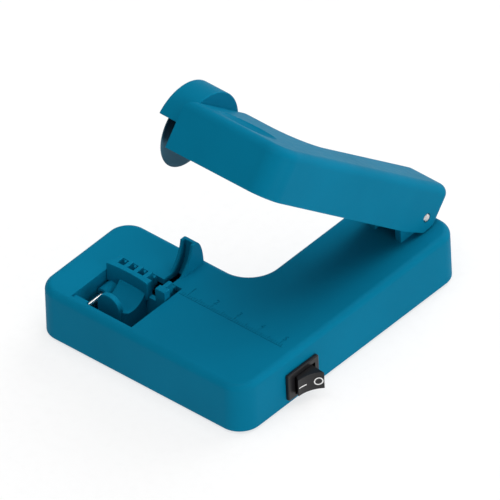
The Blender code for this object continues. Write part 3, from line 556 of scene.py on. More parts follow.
def front_slab(points, front, back):
    """An outline in the X-Z plane, extruded along Y."""
    item = slab(points, -back, -front)
    item.data.transform(Matrix.Rotation(math.radians(90), 4, "X"))
    return item


def wire(points, radius, resolution=4):
    curve = bpy.data.curves.new("wire", "CURVE")
    curve.dimensions = "3D"
    curve.bevel_depth = radius
    curve.bevel_resolution = resolution
    curve.use_fill_caps = True
    spline = curve.splines.new("POLY")
    spline.points.add(len(points) - 1)
    for point, place in zip(spline.points, points):
        point.co = (*place, 1.0)
    return mesh_object(curve_mesh(curve))


def round_face(item, axis, level, width, segments=6):
    """Rounds the edges of the flat face that lies at one level of an axis."""
    weights = item.data.attributes.new("bevel_weight_edge", "FLOAT", "EDGE")
    for edge in item.data.edges:
        ends = [item.data.vertices[index].co[axis] for index in edge.vertices]
        if all(abs(end - level) < 1e-6 for end in ends):
            weights.data[edge.index].value = 1.0
    bevel = item.modifiers.new("fillet", "BEVEL")
    bevel.limit_method = "WEIGHT"
    bevel.width = width
    bevel.segments = segments
    bevel.use_clamp_overlap = False
    return bake(item)


def soften(item, width, segments=2, angle=40):
    """Rounds every edge that is sharper than an angle."""
    bevel = item.modifiers.new("soft_edge", "BEVEL")
    bevel.limit_method = "ANGLE"
    bevel.angle_limit = math.radians(angle)
    bevel.width = width
    bevel.segments = segments
    return bake(item)


def bake(item):
    """Applies an item's modifiers to its mesh."""
    graph = bpy.context.evaluated_depsgraph_get()
    mesh = bpy.data.meshes.new_from_object(item.evaluated_get(graph))
    item.modifiers.clear()
    item.data = mesh
    return item


def combine(target, tools, operation):
    for tool in tools:
        change = target.modifiers.new("combine", "BOOLEAN")
        change.operation = operation
        change.solver = "EXACT"
        change.object = tool
        bake(target)
        bpy.data.objects.remove(tool)
    return target


def cut(target, *tools):
    return combine(target, tools, "DIFFERENCE")


def add(target, *tools):
    return combine(target, tools, "UNION")


def finish_piece(item, name, look, where, body, replaced=(), smooth=35):
    """Names a piece, gives it its look and place, and ties it to the frame."""
    item.name = name
    item.data.name = name
    item.data.transform(where)
    item.data.materials.clear()
    item.data.materials.append(look)
    item.data.shade_smooth()
    item.data.set_sharp_from_angle(angle=math.radians(smooth))
    weighted = item.modifiers.new("weighted", "WEIGHTED_NORMAL")
    weighted.keep_sharp = True
    bake(item)
    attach(item, body)
    if replaced:
        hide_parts(*replaced)
    return item


# ---- casing ------------------------------------------------------------------------------

def base_outline(inset):
    low, right, back = inset, BASE_WIDTH - inset, BASE_DEPTH - inset
    inner_x = BASE_WIDTH - SIDE_LEG_WIDTH + inset
    inner_y = FRONT_LEG_DEPTH - inset
    outer = CORNER_RADIUS - inset
    notch = NOTCH_RADIUS + inset
    return rounded([
        (low, low, outer), (right, low, outer), (right, back, outer), (inner_x, back, outer),
        (inner_x, inner_y, notch), (low, inner_y, outer)])


def ear(left):
    """Hinge ear: its back leans out from the deck to a round head, and its front is chamfered."""
    root = DECK_Z - OVERLAP
    root_back, foot_back, lean_top = HINGE_Y + 0.0020, HINGE_Y + 0.0022, HINGE_Z - 0.0036
    chamfer_y, chamfer_high, chamfer_low = EAR_FRONT_Y + 0.0030, HINGE_Z + 0.0040, HINGE_Z + 0.0015
    profile = [(EAR_FRONT_Y, root), (root_back, root), (foot_back, DECK_Z), (HINGE_Y + EAR_RADIUS, lean_top)]
    profile += arc((HINGE_Y, HINGE_Z), EAR_RADIUS, 0, 90, 14)
    profile += [(chamfer_y, chamfer_high), (EAR_FRONT_Y, chamfer_low)]
    return soften(side_slab(profile, left, left + EAR_THICKNESS), 0.0002)


def horn():
    """Curved horn: a concave arc faces the clamp, and a quarter ellipse forms its back."""
    low, back_steps = DECK_Z - OVERLAP, 16
    foot = math.degrees(math.asin((HORN_ARC_Z - low) / HORN_RADIUS))
    tip = math.degrees(math.asin((HORN_ARC_Z - HORN_TOP_Z) / HORN_RADIUS))
    profile = arc((HORN_ARC_Y, HORN_ARC_Z), HORN_RADIUS, -foot, -tip, 30)
    back_run = HORN_FOOT_BACK_Y - HORN_TOP_BACK_Y
    back_rise = HORN_TOP_Z - DECK_Z
    for step in range(back_steps + 1):
        angle = math.radians(90 * step / back_steps)
        profile.append((HORN_TOP_BACK_Y + back_run * math.sin(angle), DECK_Z + back_rise * math.cos(angle)))
    profile.append((HORN_FOOT_BACK_Y, low))
    return soften(side_slab(profile, HORN_X - HORN_HALF_WIDTH, HORN_X + HORN_HALF_WIDTH), 0.0003, 3)


def deck_tooth(index):
    x = FIRST_DECK_TOOTH_X + TOOTH_PITCH * index
    low, high, back = DECK_Z - 0.0040, DECK_Z - 0.0002, WELL_BACK + 0.0004
    tooth = block((x - DECK_TOOTH_HALF, DECK_TOOTH_FRONT_Y, low), (x + DECK_TOOTH_HALF, back, high))
    return soften(tooth, 0.00015)


def tick_length(millimetre):
    if millimetre % 10 == 0:
        return CENTIMETRE_TICK
    return HALF_CENTIMETRE_TICK if millimetre % 5 == 0 else MILLIMETRE_TICK


def scale_cutter():
    """Base line, a tick at each millimetre inside it and the numbers 1 to 5, as one shallow cutter."""
    low, high = DECK_Z - SCALE_DEPTH, DECK_Z + OVERLAP
    half = SCALE_LINE_WIDTH / 2
    parts = [block((SCALE_ZERO_X + SCALE_FIRST_MM * 0.001, SCALE_LINE_Y - half, low),
                   (SCALE_ZERO_X + SCALE_LAST_MM * 0.001, SCALE_LINE_Y + half, high))]
    tick_start = SCALE_LINE_Y + half + TICK_GAP
    for millimetre in range(SCALE_FIRST_MM + 1, SCALE_LAST_MM):
        x, length = SCALE_ZERO_X + millimetre * 0.001, tick_length(millimetre)
        parts.append(block((x - half, tick_start, low), (x + half, tick_start + length, high)))
    for number in range(1, SCALE_LAST_NUMBER + 1):
        text = bpy.data.curves.new("numeral", "FONT")
        text.body = str(number)
        text.size = NUMERAL_SIZE
        text.align_x = "CENTER"
        text.extrude = (high - low) / 2
        mesh = curve_mesh(text)
        mesh.transform(Matrix.Translation((SCALE_ZERO_X + number * 0.010, NUMERAL_Y, (low + high) / 2)))
        parts.append(mesh_object(mesh))
    return join(parts)


def join(parts):
    """Several separate solids as the mesh of one object."""
    shape = bmesh.new()
    for part in parts:
        shape.from_mesh(part.data)
        bpy.data.objects.remove(part)
    return from_bmesh(shape)


def add_clamp_well(shell):
    """Walled box under the deck, hollowed from above, with the deck's teeth along its back edge."""
    box_front, above = BASE_WALL - 0.0005, 0.0300
    add(shell, block((WELL_LEFT - WELL_WALL, box_front, WELL_FLOOR_Z),
                     (WELL_RIGHT + WELL_WALL, WELL_BACK, DECK_Z - OVERLAP)))
    cut(shell, block((WELL_LEFT, WELL_FRONT, WELL_FLOOR_Z - OVERLAP),
                     (WELL_RIGHT, WELL_BACK + 0.0001, above)))
    add(shell, *[deck_tooth(index) for index in TOOTH_SLOTS])


def add_horn(shell):
    add(shell, horn())
    cut(shell, rod((HORN_X - HORN_SLOT_HALF, HORN_SLOT_Y, HORN_SLOT_Z),
                   (HORN_X + HORN_SLOT_HALF, HORN_SLOT_Y, HORN_SLOT_Z), HORN_SLOT_RADIUS, 120))


def add_ears(shell):
    bore_left, bore_right = 0.0600, 0.0850
    add(shell, ear(EAR_LEFT_X), ear(EAR_RIGHT_X - EAR_THICKNESS))
    cut(shell, rod((bore_left, HINGE_Y, HINGE_Z), (bore_right, HINGE_Y, HINGE_Z), BUSH_RADIUS + GAP))


def add_screw_boss(shell, x, y):
    roof = DECK_Z - 0.0030
    add(shell, rod((x, y, COVER_HIGH + GAP), (x, y, DECK_Z - OVERLAP), BOSS_RADIUS, 32))
    cut(shell, rod((x, y, 0.0), (x, y, roof), SCREW_HOLE_RADIUS, 24))


def add_clamp_mounts(shell):
    """Two blocks that hold the guide rod's ends, and the clamp spring's post."""
    high, rod_low, rod_right = DECK_Z - OVERLAP, ROD_Z - 0.0030, ROD_X + 0.0030
    front_left, front_low_y, front_high_y = ROD_X - 0.0030, 0.0015, 0.0055
    back_left, back_low_y, back_high_y = ROD_X - 0.0026, 0.0350, 0.0375
    post_low, post_radius = 0.0080, 0.0011
    bore_front, bore_back, bore_play = 0.0025, 0.0390, 0.0002
    add(shell, block((front_left, front_low_y, rod_low), (rod_right, front_high_y, high)),
        block((back_left, back_low_y, rod_low), (rod_right, back_high_y, high)),
        rod((SPRING_X, SPRING_POST_Y, post_low), (SPRING_X, SPRING_POST_Y, high), post_radius, 24))
    cut(shell, rod((ROD_X, bore_front, ROD_Z), (ROD_X, bore_back, ROD_Z), ROD_RADIUS + bore_play, 32))


def cut_switch_opening(shell):
    reach = 0.0050
    cut(shell, block(
        (BASE_WIDTH - reach, SWITCH_Y - SWITCH_BODY_HALF_Y - GAP, SWITCH_Z - SWITCH_BODY_HALF_Z - GAP),
        (BASE_WIDTH + reach, SWITCH_Y + SWITCH_BODY_HALF_Y + GAP, SWITCH_Z + SWITCH_BODY_HALF_Z + GAP)))


def cut_lead_hole(shell):
    """Hole in the deck between the ears, where the motor's lead enters the arm."""
    lead_x, low, high, radius = 0.0704, 0.0100, 0.0230, 0.0014
    cut(shell, rod((lead_x, HINGE_Y, low), (lead_x, HINGE_Y, high), radius, 24))


def base_body():
    shell = round_face(slab(base_outline(0.0), 0.0, DECK_Z), 2, DECK_Z, TOP_FILLET, 8)
    cut(shell, slab(base_outline(BASE_WALL), -OVERLAP, DECK_Z - BASE_WALL))
    add_clamp_well(shell)
    add_horn(shell)
    add_ears(shell)
    for x, y in BASE_SCREWS:
        add_screw_boss(shell, x, y)
    add_clamp_mounts(shell)
    cut_switch_opening(shell)
    cut_lead_hole(shell)
    cut(shell, scale_cutter())
    finish_piece(shell, "base_body", TEAL, CASING, "base", ["base_shell"])


def screw(name, where, top, direction, length, body):
    """Pan-head screw with a domed rim, thread ridges and a cross recess."""
    radius, head = SCREW_HEAD_RADIUS, 0.0010
    root, tip = SCREW_SHANK_RADIUS * 0.82, 0.0004
    recess_above, recess_depth, recess_half, slot_half = -0.0003, 0.0005, 0.0011, 0.00018
    profile = [(0.0, 0.0), (0.0, radius * 0.72), (head * 0.12, radius * 0.92), (head * 0.35, radius),
               (head, radius), (head, SCREW_SHANK_RADIUS)]
    pitch = 0.0007
    x = head + pitch
    while x < length - pitch:
        profile += [(x, root), (x + pitch / 2, SCREW_SHANK_RADIUS)]
        x += pitch
    profile += [(length - tip, SCREW_SHANK_RADIUS * 0.8), (length, 0.0)]
    item = lathe(profile, 32)
    for half_y, half_z in ((recess_half, slot_half), (slot_half, recess_half)):
        cut(item, block((recess_above, -half_y, -half_z), (recess_depth, half_y, half_z)))
    turn = Vector(direction).to_track_quat("X", "Y").to_matrix().to_4x4()
    item.data.transform(Matrix.Translation(top) @ turn)
    finish_piece(item, name + "_fine", STEEL, where, body, [name])


def foot(index, x, y):
    low, high, radius = -0.0010, COVER_LOW - GAP, FOOT_RADIUS
    profile = [(low, 0.0), (low, radius * 0.80), (low + 0.0002, radius * 0.89), (low + 0.0005, radius * 0.95),
               (high, radius), (high, 0.0)]
    item = turned(lathe(profile, 48), (x, y, 0.0), "Z")
    finish_piece(item, f"foot_{index}_fine", RUBBER, CASING, "base", [f"foot_{index}"])


def hinge_parts():
    left, right, chamfer = ARM_RIGHT_X - ARM_LEG_WIDTH + 0.0006, ARM_RIGHT_X, 0.00025
    pin = lathe([(left, 0.0), (left, PIN_RADIUS - chamfer), (left + chamfer, PIN_RADIUS),
                 (right - chamfer, PIN_RADIUS), (right, PIN_RADIUS - chamfer), (right, 0.0)], 48)
    turned(pin, (0.0, HINGE_Y, HINGE_Z))
    finish_piece(pin, "hinge_pin_fine", STEEL, CASING, "base", ["hinge_pin"])
    for name, start in (("hinge_bush_left", EAR_LEFT_X), ("hinge_bush_right", EAR_RIGHT_X - EAR_THICKNESS)):
        end, inner, bevel = start + EAR_THICKNESS, PIN_RADIUS + 0.0001, 0.00015
        bush = lathe([(start, inner + bevel), (start, BUSH_RADIUS - bevel), (start + bevel, BUSH_RADIUS),
                      (end - bevel, BUSH_RADIUS), (end, BUSH_RADIUS - bevel), (end, inner + bevel),
                      (end - bevel, inner), (start + bevel, inner)], 48)
        turned(bush, (0.0, HINGE_Y, HINGE_Z))
        finish_piece(bush, name + "_fine", BRASS, CASING, "base", [name])
    finish_piece(return_spring(), "return_spring_fine", SPRING_STEEL, CASING, "base",
                 ["return_spring"])


def return_spring():
    """Hinge spring: a coil round the pin, one tail down to the deck and one up to the arm's roof."""
    left, right, radius, turns, steps = 0.0725, 0.0765, 0.0027, 4, 28
    wire_radius, reach, lean, deck_play = 0.00030, 0.0085, 0.8, 0.0008
    coil = []
    for step in range(turns * steps + 1):
        angle = 2 * math.pi * step / steps
        x = left + (right - left) * step / (turns * steps)
        coil.append((x, HINGE_Y - radius * math.cos(angle), HINGE_Z + radius * math.sin(angle)))
    deck_tail = (left, HINGE_Y - radius, DECK_Z + deck_play)
    roof_tail = (right, HINGE_Y - radius * math.cos(ARM_RAISE) + reach * math.sin(ARM_RAISE) * lean,
                 HINGE_Z + reach * math.cos(ARM_RAISE))
    return wire([deck_tail] + coil + [roof_tail], wire_radius)


def guide_rod():
    """Clamp's rod, with a clip groove near its back end."""
    front, back, chamfer = 0.0028, 0.0394, 0.0003
    groove, groove_front, groove_back = 0.0009, 0.0383, 0.0387
    item = lathe([(front, 0.0), (front, ROD_RADIUS - chamfer), (front + chamfer, ROD_RADIUS),
                  (groove_front, ROD_RADIUS), (groove_front, groove), (groove_back, groove),
                  (groove_back, ROD_RADIUS),
                  (back - chamfer, ROD_RADIUS), (back, ROD_RADIUS - chamfer), (back, 0.0)], 48)
    turned(item, (ROD_X, 0.0, ROD_Z), "Y")
    finish_piece(item, "guide_rod_fine", DRAWN_STEEL, CASING, "base", ["guide_rod"])


# ---- clamp -------------------------------------------------------------------------------

def comb_outline(left, right, slots, hollow):
    """Plan of one part of the comb strip: its front edge is slightly hollow and its back carries fingers."""
    outline, front_steps = [], 12
    for step in range(front_steps + 1):
        part = step / front_steps
        outline.append((left + (right - left) * part, JAW_FRONT_Y + hollow * math.sin(math.pi * part)))
    outline.append((right, JAW_STRIP_BACK_Y))
    for index in sorted(slots, reverse=True):
        x = FIRST_JAW_TOOTH_X + TOOTH_PITCH * index
        outline += [(x + TOOTH_HALF, JAW_STRIP_BACK_Y), (x + TOOTH_HALF, JAW_TOOTH_BACK_Y),
                    (x - TOOTH_HALF, JAW_TOOTH_BACK_Y), (x - TOOTH_HALF, JAW_STRIP_BACK_Y)]
    outline.append((left, JAW_STRIP_BACK_Y))
    return outline


def saddle():
    """Thumb grip: a dished body with round front corners, and a half-round lip at its front."""
    floor_z, top_z, left_corner, right_corner = 0.0080, 0.0174, 0.0018, 0.0026
    dish_radius, dish_y, dish_z, dish_reach = 0.0075, 0.0143, 0.0216, 0.0050
    front, back = SADDLE_FRONT_Y + LIP_DEPTH * 0.5, JAW_FRONT_Y + JAW_ROOT
    plan = rounded([(SADDLE_LEFT, front, left_corner), (SADDLE_RIGHT, front, right_corner),
                    (SADDLE_RIGHT, back, 0.0), (SADDLE_LEFT, back, 0.0)])
    body = slab(plan, floor_z, top_z)
    cut(body, rod((SADDLE_LEFT - dish_reach, dish_y, dish_z), (SADDLE_RIGHT + dish_reach, dish_y, dish_z),
                  dish_radius, 96))
    soften(body, 0.0004, 3, 30)
    lip_z = DECK_Z + LIP_RISE - LIP_RADIUS
    outline = [(LIP_X + LIP_RADIUS, floor_z)] + arc((LIP_X, lip_z), LIP_RADIUS, 0, 180, 36)
    outline.append((LIP_X - LIP_RADIUS, floor_z))
    lip = soften(front_slab(outline, SADDLE_FRONT_Y, SADDLE_FRONT_Y + LIP_DEPTH), 0.0003, 3)
    return add(body, lip)


def clamp_sleeve():
    """Round-nosed sleeve that runs on the guide rod."""
    nose, shoulder = 0.0004, 0.00012
    back = JAW_FRONT_Y + JAW_ROOT
    sleeve = lathe([(SLEEVE_FRONT_Y, 0.0), (SLEEVE_FRONT_Y, SLEEVE_RADIUS - nose),
                    (SLEEVE_FRONT_Y + shoulder, SLEEVE_RADIUS - shoulder),
                    (SLEEVE_FRONT_Y + nose, SLEEVE_RADIUS), (back, SLEEVE_RADIUS), (back, 0.0)], 48)
    return turned(sleeve, (ROD_X, 0.0, ROD_Z), "Y")


def clamp_body():
    left, right = WELL_LEFT + JAW_SIDE_PLAY, WELL_RIGHT - JAW_SIDE_PLAY
    strip_low, wall_high, wall_front = DECK_Z - 0.0040, DECK_Z - 0.0030, JAW_FRONT_Y + 0.0008
    bore_front, bore_back, bore_play = 0.0100, 0.0330, 0.0002
    hook_half, hook_low, hook_high, hook_front = 0.0009, 0.0085, 0.0100, JAW_STRIP_BACK_Y - 0.0005
    wall = block((left, wall_front, JAW_BOTTOM_Z), (right, JAW_STRIP_BACK_Y, wall_high))
    strips = ((left, WHEEL_GAP_LEFT, [0, 1, 2, 3], 0.0007), (WHEEL_GAP_RIGHT, right, [5], 0.0))
    for start, end, slots, hollow in strips:
        strip = slab(comb_outline(start, end, slots, hollow), strip_low, JAW_TOP_Z)
        add(wall, round_face(strip, 2, JAW_TOP_Z, 0.00022, 3))
    add(wall, saddle())
    add(wall, clamp_sleeve())
    cut(wall, rod((ROD_X, bore_front, ROD_Z), (ROD_X, bore_back, ROD_Z), ROD_RADIUS + bore_play))
    add(wall, block((SPRING_X - hook_half, hook_front, hook_low),
                    (SPRING_X + hook_half, JAW_TOOTH_BACK_Y, hook_high)))
    finish_piece(wall, "clamp_body", TEAL, CASING, "clamp", ["clamp_jaw"])


def clamp_spring():
    """Tension coil between the clamp's hook and the post under the deck."""
    radius, wire_radius, turns, steps = 0.0016, 0.00025, 8, 24
    start, end = SPRING_HOOK_Y, SPRING_POST_Y - radius
    points = []
    for step in range(turns * steps + 1):
        angle = 2 * math.pi * step / steps
        y = start + (end - start) * step / (turns * steps)
        points.append((SPRING_X + radius * math.cos(angle), y, SPRING_Z + radius * math.sin(angle)))
    finish_piece(wire(points, wire_radius), "clamp_spring_fine", SPRING_STEEL, CASING, "base",
                 ["clamp_spring"])


# ---- switch ------------------------------------------------------------------------------

def switch_frame():
    """Bezel with a rounded rim on the switch's body, with an opening for the rocker."""
    pocket_back, pocket_front, side_play = BASE_WIDTH - 0.0045, BASE_WIDTH + 0.0050, 0.0003
    rim, face = BASE_WIDTH + GAP, BASE_WIDTH + BEZEL_PROUD
    low_y, high_y = SWITCH_Y - BEZEL_HALF_Y, SWITCH_Y + BEZEL_HALF_Y
    low_z, high_z = SWITCH_Z - BEZEL_HALF_Z, SWITCH_Z + BEZEL_HALF_Z
    corner = 0.0006
    outline = rounded([(low_y, low_z, corner), (high_y, low_z, corner), (high_y, high_z, corner),
                       (low_y, high_z, corner)], 5)
    bezel = round_face(side_slab(outline, rim, face), 0, face, 0.0004, 3)
    add(bezel, block(
        (BASE_WIDTH - SWITCH_BODY_DEPTH, SWITCH_Y - SWITCH_BODY_HALF_Y, SWITCH_Z - SWITCH_BODY_HALF_Z),
        (BASE_WIDTH + OVERLAP, SWITCH_Y + SWITCH_BODY_HALF_Y, SWITCH_Z + SWITCH_BODY_HALF_Z)))
    cut(bezel, block(
        (pocket_back, ROCKER_Y - ROCKER_HALF_Y - side_play, SWITCH_Z + ROCKER_LOW_Z - GAP),
        (pocket_front, ROCKER_Y + ROCKER_HALF_Y + side_play, SWITCH_Z + ROCKER_HIGH_Z + GAP)))
    finish_piece(bezel, "switch_bezel", BLACK, CASING, "base", ["switch_housing"])


def rocker_face(y):
    """Height of the rocker's hollow face at a place across it."""
    centre = ROCKER_CREST + math.sqrt(ROCKER_FACE_RADIUS ** 2 - ROCKER_HALF_Y ** 2)
    return centre - math.sqrt(ROCKER_FACE_RADIUS ** 2 - (y - ROCKER_MIDDLE_Y) ** 2)


def rocker():
    """Paddle with a hollow face, which narrows towards its pivot."""
    face = []
    for step in range(25):
        y = ROCKER_MIDDLE_Y + ROCKER_HALF_Y * (step / 12 - 1)
        face.append((rocker_face(y), y))
    inner = -0.0014
    outline = [(inner, -ROCKER_WAIST_HALF_Y)] + face + [(inner, ROCKER_WAIST_HALF_Y)]
    paddle = soften(slab(outline, ROCKER_LOW_Z, ROCKER_HIGH_Z), 0.00025, 3)
    finish_piece(paddle, "rocker_paddle", BLACK, ROCKER, "rocker", ["switch_rocker"])


def rocker_mark(name, rows):
    """A thin print on the rocker's face. Rows are lists of (y, z) points, joined by faces."""
    shape = bmesh.new()
    lift, thickness = 0.00003, 0.00005
    grid = [[shape.verts.new((rocker_face(y) + lift, y, z)) for y, z in row] for row in rows]
    for first, second in zip(grid, grid[1:]):
        for a, b, c, d in zip(first, first[1:], second[1:], second):
            if len({a, b, c, d}) == 4:
                shape.faces.new((a, b, c, d))
    bmesh.ops.remove_doubles(shape, verts=shape.verts, dist=1e-7)
    bmesh.ops.recalc_face_normals(shape, faces=shape.faces)
    mark = from_bmesh(shape)
    skin = mark.modifiers.new("skin", "SOLIDIFY")
    skin.thickness = thickness
    skin.offset = 0.0
    finish_piece(bake(mark), name, PRINT, ROCKER, "rocker")


def rocker_marks():
    mark_z, stroke = -0.0005, 0.00019
    ring_y, ring_radius, ring_steps = 0.0034, 0.00136, 40
    bar_start, bar_length, bar_steps = -0.0039, 0.0031, 8
    rows = []
    for radius in (ring_radius - stroke, ring_radius + stroke):
        row = []
        for step in range(ring_steps + 1):
            angle = 2 * math.pi * step / ring_steps
            row.append((ring_y + radius * math.cos(angle), mark_z + radius * math.sin(angle)))
        rows.append(row)
    rocker_mark("rocker_mark_off", rows)
    bar = [bar_start + bar_length * step / bar_steps for step in range(bar_steps + 1)]
    rocker_mark("rocker_mark_on", [[(y, mark_z - stroke) for y in bar], [(y, mark_z + stroke) for y in bar]])


# ---- arm ---------------------------------------------------------------------------------

def arm_outline(inset):
    right, front, back = ARM_RIGHT_X - inset, HEAD_FRONT_Y + inset, ARM_BACK_Y - inset
    leg_left = ARM_RIGHT_X - ARM_LEG_WIDTH + inset
    head_left, head_back = HEAD_LEFT_X + inset, HEAD_BACK_Y - inset
    small = max(ARM_FILLET + 0.0003 - inset, 0.0)
    return rounded([
        (head_left, front, 0.0), (right, front, ARM_CORNER - inset), (right, back, small),
        (leg_left, back, small), (leg_left, head_back, ARM_NOTCH_RADIUS + inset),
        (head_left, head_back, small)])


def recess_plug(rim, low, high):
    plug = rod((0.0, 0.0, low), (0.0, 0.0, high), 1.0, 96)
    size = Matrix.Diagonal((RECESS_HALF_X + rim, RECESS_HALF_Y + rim, 1.0, 1.0))
    plug.data.transform(Matrix.Translation((*RECESS_CENTRE, 0.0)) @ size)
    return plug


def recess_dish():
    """Lens-shaped cutter: an ellipsoid whose cut through the arm's top is the recess's rim."""
    height, above = 0.0050, 0.0030
    flare = 1.0 / math.sqrt(1.0 - (above / height) ** 2)
    shape = bmesh.new()
    bmesh.ops.create_uvsphere(shape, u_segments=96, v_segments=48, radius=1.0)
    dish = from_bmesh(shape)
    size = Matrix.Diagonal((RECESS_HALF_X * flare, RECESS_HALF_Y * flare, height, 1.0))
    dish.data.transform(Matrix.Translation((*RECESS_CENTRE, ARM_TOP + above)) @ size)
    return dish


def add_guard(shell):
    """Round wheel guard, made solid here. Its bore is cut once the head is hollow."""
    edge = math.degrees(math.asin((GUARD_EDGE_Z - AXLE_Z) / GUARD_RADIUS))
    outline = arc((AXLE_Y, AXLE_Z), GUARD_RADIUS, edge, 180 - edge, 72)
    add(shell, soften(side_slab(outline, GUARD_LEFT_X, GUARD_RIGHT_X), 0.0004, 3))


def cut_wheel_room(shell):
    """The guard's bore, and the hole through which the arbor meets the motor."""
    bore_start, hub_start, hub_end = GUARD_LEFT_X - 0.0050, HEAD_LEFT_X - 0.0010, HEAD_LEFT_X + 0.0040
    hub_radius = 0.0028
    axle = (AXLE_Y, AXLE_Z)
    cut(shell, rod((bore_start, *axle), (HEAD_LEFT_X, *axle), GUARD_BORE, 120))
    cut(shell, rod((hub_start, *axle), (hub_end, *axle), hub_radius))


def add_thumb_recess(shell):
    """A plug under the roof keeps the wall whole where the dish is cut."""
    roof = ARM_TOP - ARM_WALL
    plug_low, plug_high = roof - RECESS_DEPTH + 0.0004, roof + OVERLAP
    add(shell, recess_plug(RECESS_RIM, plug_low, plug_high))
    cut(shell, recess_dish())


def add_arm_boss(shell, x, y):
    low, roof = ARM_BOTTOM + 0.0021, ARM_TOP - 0.0030
    add(shell, rod((x, y, low), (x, y, ARM_TOP - OVERLAP), BOSS_RADIUS * 0.9, 32))
    cut(shell, rod((x, y, ARM_BOTTOM), (x, y, roof), SCREW_HOLE_RADIUS, 24))


def heel_cutter():
    """Rounds the arm's heel so that it clears the deck as the arm turns."""
    front, far, low, step = -0.0100, 0.0300, -0.0300, 0.0008
    heel = arc((0.0, 0.0), HEEL_RADIUS, 270, 292, 10)
    profile = [(front, ARM_BOTTOM)] + heel
    profile += [(ARM_BACK_Y + 0.0001, step), (far, step), (far, low), (front, low)]
    return side_slab(profile, ARM_LEG_CUT_LEFT, ARM_LEG_CUT_RIGHT)


def arm_body():
    shell = round_face(slab(arm_outline(0.0), ARM_BOTTOM, ARM_TOP), 2, ARM_TOP, ARM_FILLET, 8)
    add_guard(shell)
    cut(shell, slab(arm_outline(ARM_WALL), ARM_BOTTOM - 0.0050, ARM_TOP - ARM_WALL))
    cut_wheel_room(shell)
    add_thumb_recess(shell)
    for x, y in ARM_SCREWS:
        add_arm_boss(shell, x, y)
    cut(shell, heel_cutter())
    cut(shell, rod((ARM_LEG_CUT_LEFT, 0.0, 0.0), (ARM_LEG_CUT_RIGHT, 0.0, 0.0), PIN_RADIUS + 0.0002))
    finish_piece(shell, "arm_body", TEAL, ARM, "arm", ["arm_shell"])


def wheel_disc():
    """Thin disc with a bevelled edge and four round holes."""
    half, radius, land = WHEEL_HALF_THICKNESS, WHEEL_RADIUS, 0.0011
    rim_half, rim_drop = 0.00018, 0.00008
    hole_circle, hole_radius, hole_reach, holes = 0.0080, 0.0013, 0.0020, 4
    disc = lathe([(-half, WHEEL_BORE), (-half, radius - land), (-rim_half, radius - rim_drop), (0.0, radius),
                  (rim_half, radius - rim_drop), (half, radius - land), (half, WHEEL_BORE)], 128)
    for step in range(holes):
        angle = math.radians(45 + 90 * step)
        y, z = hole_circle * math.cos(angle), hole_circle * math.sin(angle)
        cut(disc, rod((-hole_reach, y, z), (hole_reach, y, z), hole_radius, 32))
    finish_piece(disc, "wheel_fine", WHEEL_STEEL, AXLE, "wheel", ["wheel"])


def wheel_arbor():
    """Spindle with a flange behind the wheel and a boss that sits on the motor's shaft."""
    flange, boss_end, chamfer = WHEEL_HALF_THICKNESS + GAP, 0.0062, 0.0002
    flange_back, flange_radius, boss_radius = flange + 0.0012, 0.0040, 0.0022
    tip, tip_end, tip_radius, spindle_radius = -0.0022, -0.0020, 0.0012, 0.0014
    socket_floor, socket_radius = 0.0030, SHAFT_RADIUS + GAP
    arbor = lathe([(tip, 0.0), (tip, tip_radius), (tip_end, spindle_radius), (flange, spindle_radius),
                   (flange, flange_radius - chamfer), (flange + chamfer, flange_radius),
                   (flange_back - chamfer, flange_radius), (flange_back, flange_radius - chamfer),
                   (flange_back, boss_radius), (boss_end - chamfer, boss_radius),
                   (boss_end, boss_radius - chamfer), (boss_end, socket_radius),
                   (socket_floor, socket_radius), (socket_floor, 0.0)], 48)
    finish_piece(arbor, "wheel_arbor_fine", STEEL, AXLE, "wheel", ["wheel_arbor"])


def wheel_nut():
    left, right, radius = -0.0022, -WHEEL_HALF_THICKNESS - GAP, 0.0030
    nut = soften(rod((left, 0, 0), (right, 0, 0), radius, 6), 0.0002, 2)
    cut(nut, rod((-0.0040, 0, 0), (0.0, 0, 0), WHEEL_BORE))
    finish_piece(nut, "wheel_nut_fine", STEEL, AXLE, "wheel", ["wheel_nut"])


# ---- carried-over CAD nodes ---------------------------------------------------------------

CAD_LOOKS = {
    "bottom_cover": TEAL, "arm_cover": TEAL, "switch_terminal_1": BRASS, "switch_terminal_2": BRASS,
    "battery_tray": BLACK, "battery_cell_1": WRAP, "battery_cell_2": WRAP, "battery_contact_front": BRASS,
    "battery_contact_rear": BRASS, "motor_lead_base": LEAD_RED, "battery_lead": LEAD_BLACK,
    "motor_can": STEEL, "motor_end_cap": BLACK, "motor_bracket": SHEET_STEEL, "motor_lead_arm": LEAD_RED,
    "motor_shaft": STEEL}


def dress_cad_nodes():
    for name, look in CAD_LOOKS.items():
        node = NODES[name]
        node.data.materials.clear()
        node.data.materials.append(look)


# ---- studio ------------------------------------------------------------------------------

def floor():
    shape = bmesh.new()
    bmesh.ops.create_grid(shape, x_segments=2, y_segments=2, size=FLOOR_HALF_SIZE)
    ground = from_bmesh(shape, "studio_floor")
    ground.location = (0.0, 0.0, cad_box[0][2])
    made, tree, shader = material("floor_paper", (0.30, 0.30, 0.30), 0.9, specular=0.0)
    grain = noise(tree, place_coords(tree), 300.0, 4.0)
    tree.links.new(ramp(tree, grain, (0.29, 0.29, 0.29), (0.31, 0.31, 0.31)), shader.inputs["Base Color"])
    shader.inputs["Emission Color"].default_value = (1.0, 1.0, 1.0, 1.0)
    shader.inputs["Emission Strength"].default_value = FLOOR_GLOW
    ground.data.materials.append(made)


def sun(name, direction, strength, width):
    light = bpy.data.lights.new(name, "SUN")
    light.energy = strength
    light.angle = math.radians(width)
    lamp = bpy.data.objects.new(name, light)
    bpy.context.scene.collection.objects.link(lamp)
    lamp.rotation_euler = Vector(direction).to_track_quat("Z", "Y").to_euler()


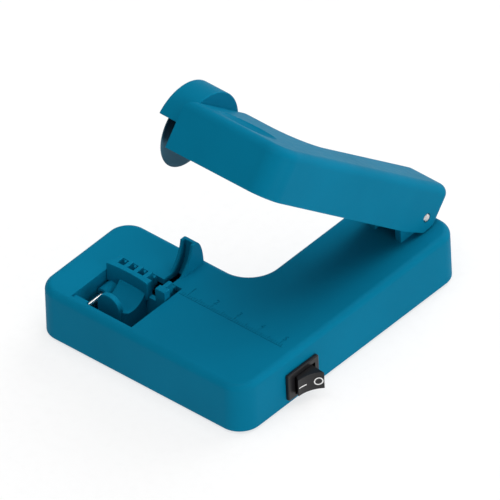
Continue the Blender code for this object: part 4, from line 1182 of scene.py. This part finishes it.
def studio():
    world = bpy.data.worlds.new("studio")
    world.use_nodes = True
    world.node_tree.nodes["Background"].inputs["Color"].default_value = (1.0, 1.0, 1.0, 1.0)
    world.node_tree.nodes["Background"].inputs["Strength"].default_value = WORLD_LIGHT
    bpy.context.scene.world = world
    for name, (direction, strength, width) in SUNS.items():
        sun(name, direction, strength, width)
    bpy.context.scene.view_settings.view_transform = "Standard"


def camera():
    back = Vector((math.sin(VIEW_AZIMUTH) * math.cos(VIEW_ELEVATION),
                   -math.cos(VIEW_AZIMUTH) * math.cos(VIEW_ELEVATION), math.sin(VIEW_ELEVATION)))
    level_right = Vector((math.cos(VIEW_AZIMUTH), math.sin(VIEW_AZIMUTH), 0.0))
    level_up = back.cross(level_right)
    up = level_up * math.cos(VIEW_ROLL) + level_right * math.sin(VIEW_ROLL)
    right = up.cross(back)
    lens = bpy.data.cameras.new("camera")
    lens.type = "ORTHO"
    lens.ortho_scale = VIEW_WIDTH
    eye = bpy.data.objects.new("camera", lens)
    bpy.context.scene.collection.objects.link(eye)
    turn = Matrix((right, up, back)).transposed().to_4x4()
    eye.matrix_world = Matrix.Translation(VIEW_CENTRE + back * VIEW_DISTANCE) @ turn
    bpy.context.scene.camera = eye


def main():
    camera()
    studio()
    floor()
    base_body()
    for index, (x, y) in enumerate(BASE_SCREWS, 1):
        screw(f"cover_screw_{index}", CASING, (x, y, COVER_LOW), (0, 0, 1), COVER_SCREW_LENGTH, "base")
    for index, (x, y) in enumerate(FEET, 1):
        foot(index, x, y)
    hinge_parts()
    guide_rod()
    clamp_body()
    clamp_spring()
    switch_frame()
    rocker()
    rocker_marks()
    arm_body()
    for index, (x, y) in enumerate(ARM_SCREWS, 1):
        screw(f"arm_screw_{index}", ARM, (x, y, ARM_BOTTOM), (0, 0, 1), ARM_SCREW_LENGTH, "arm")
    for index, side in enumerate((-MOTOR_SCREW_REACH, MOTOR_SCREW_REACH), 1):
        top = (MOTOR_SCREW_TOP_X, AXLE_Y + side, AXLE_Z)
        screw(f"motor_screw_{index}", ARM, top, (-1, 0, 0), MOTOR_SCREW_LENGTH, "arm")
    wheel_disc()
    wheel_arbor()
    wheel_nut()
    dress_cad_nodes()


main()
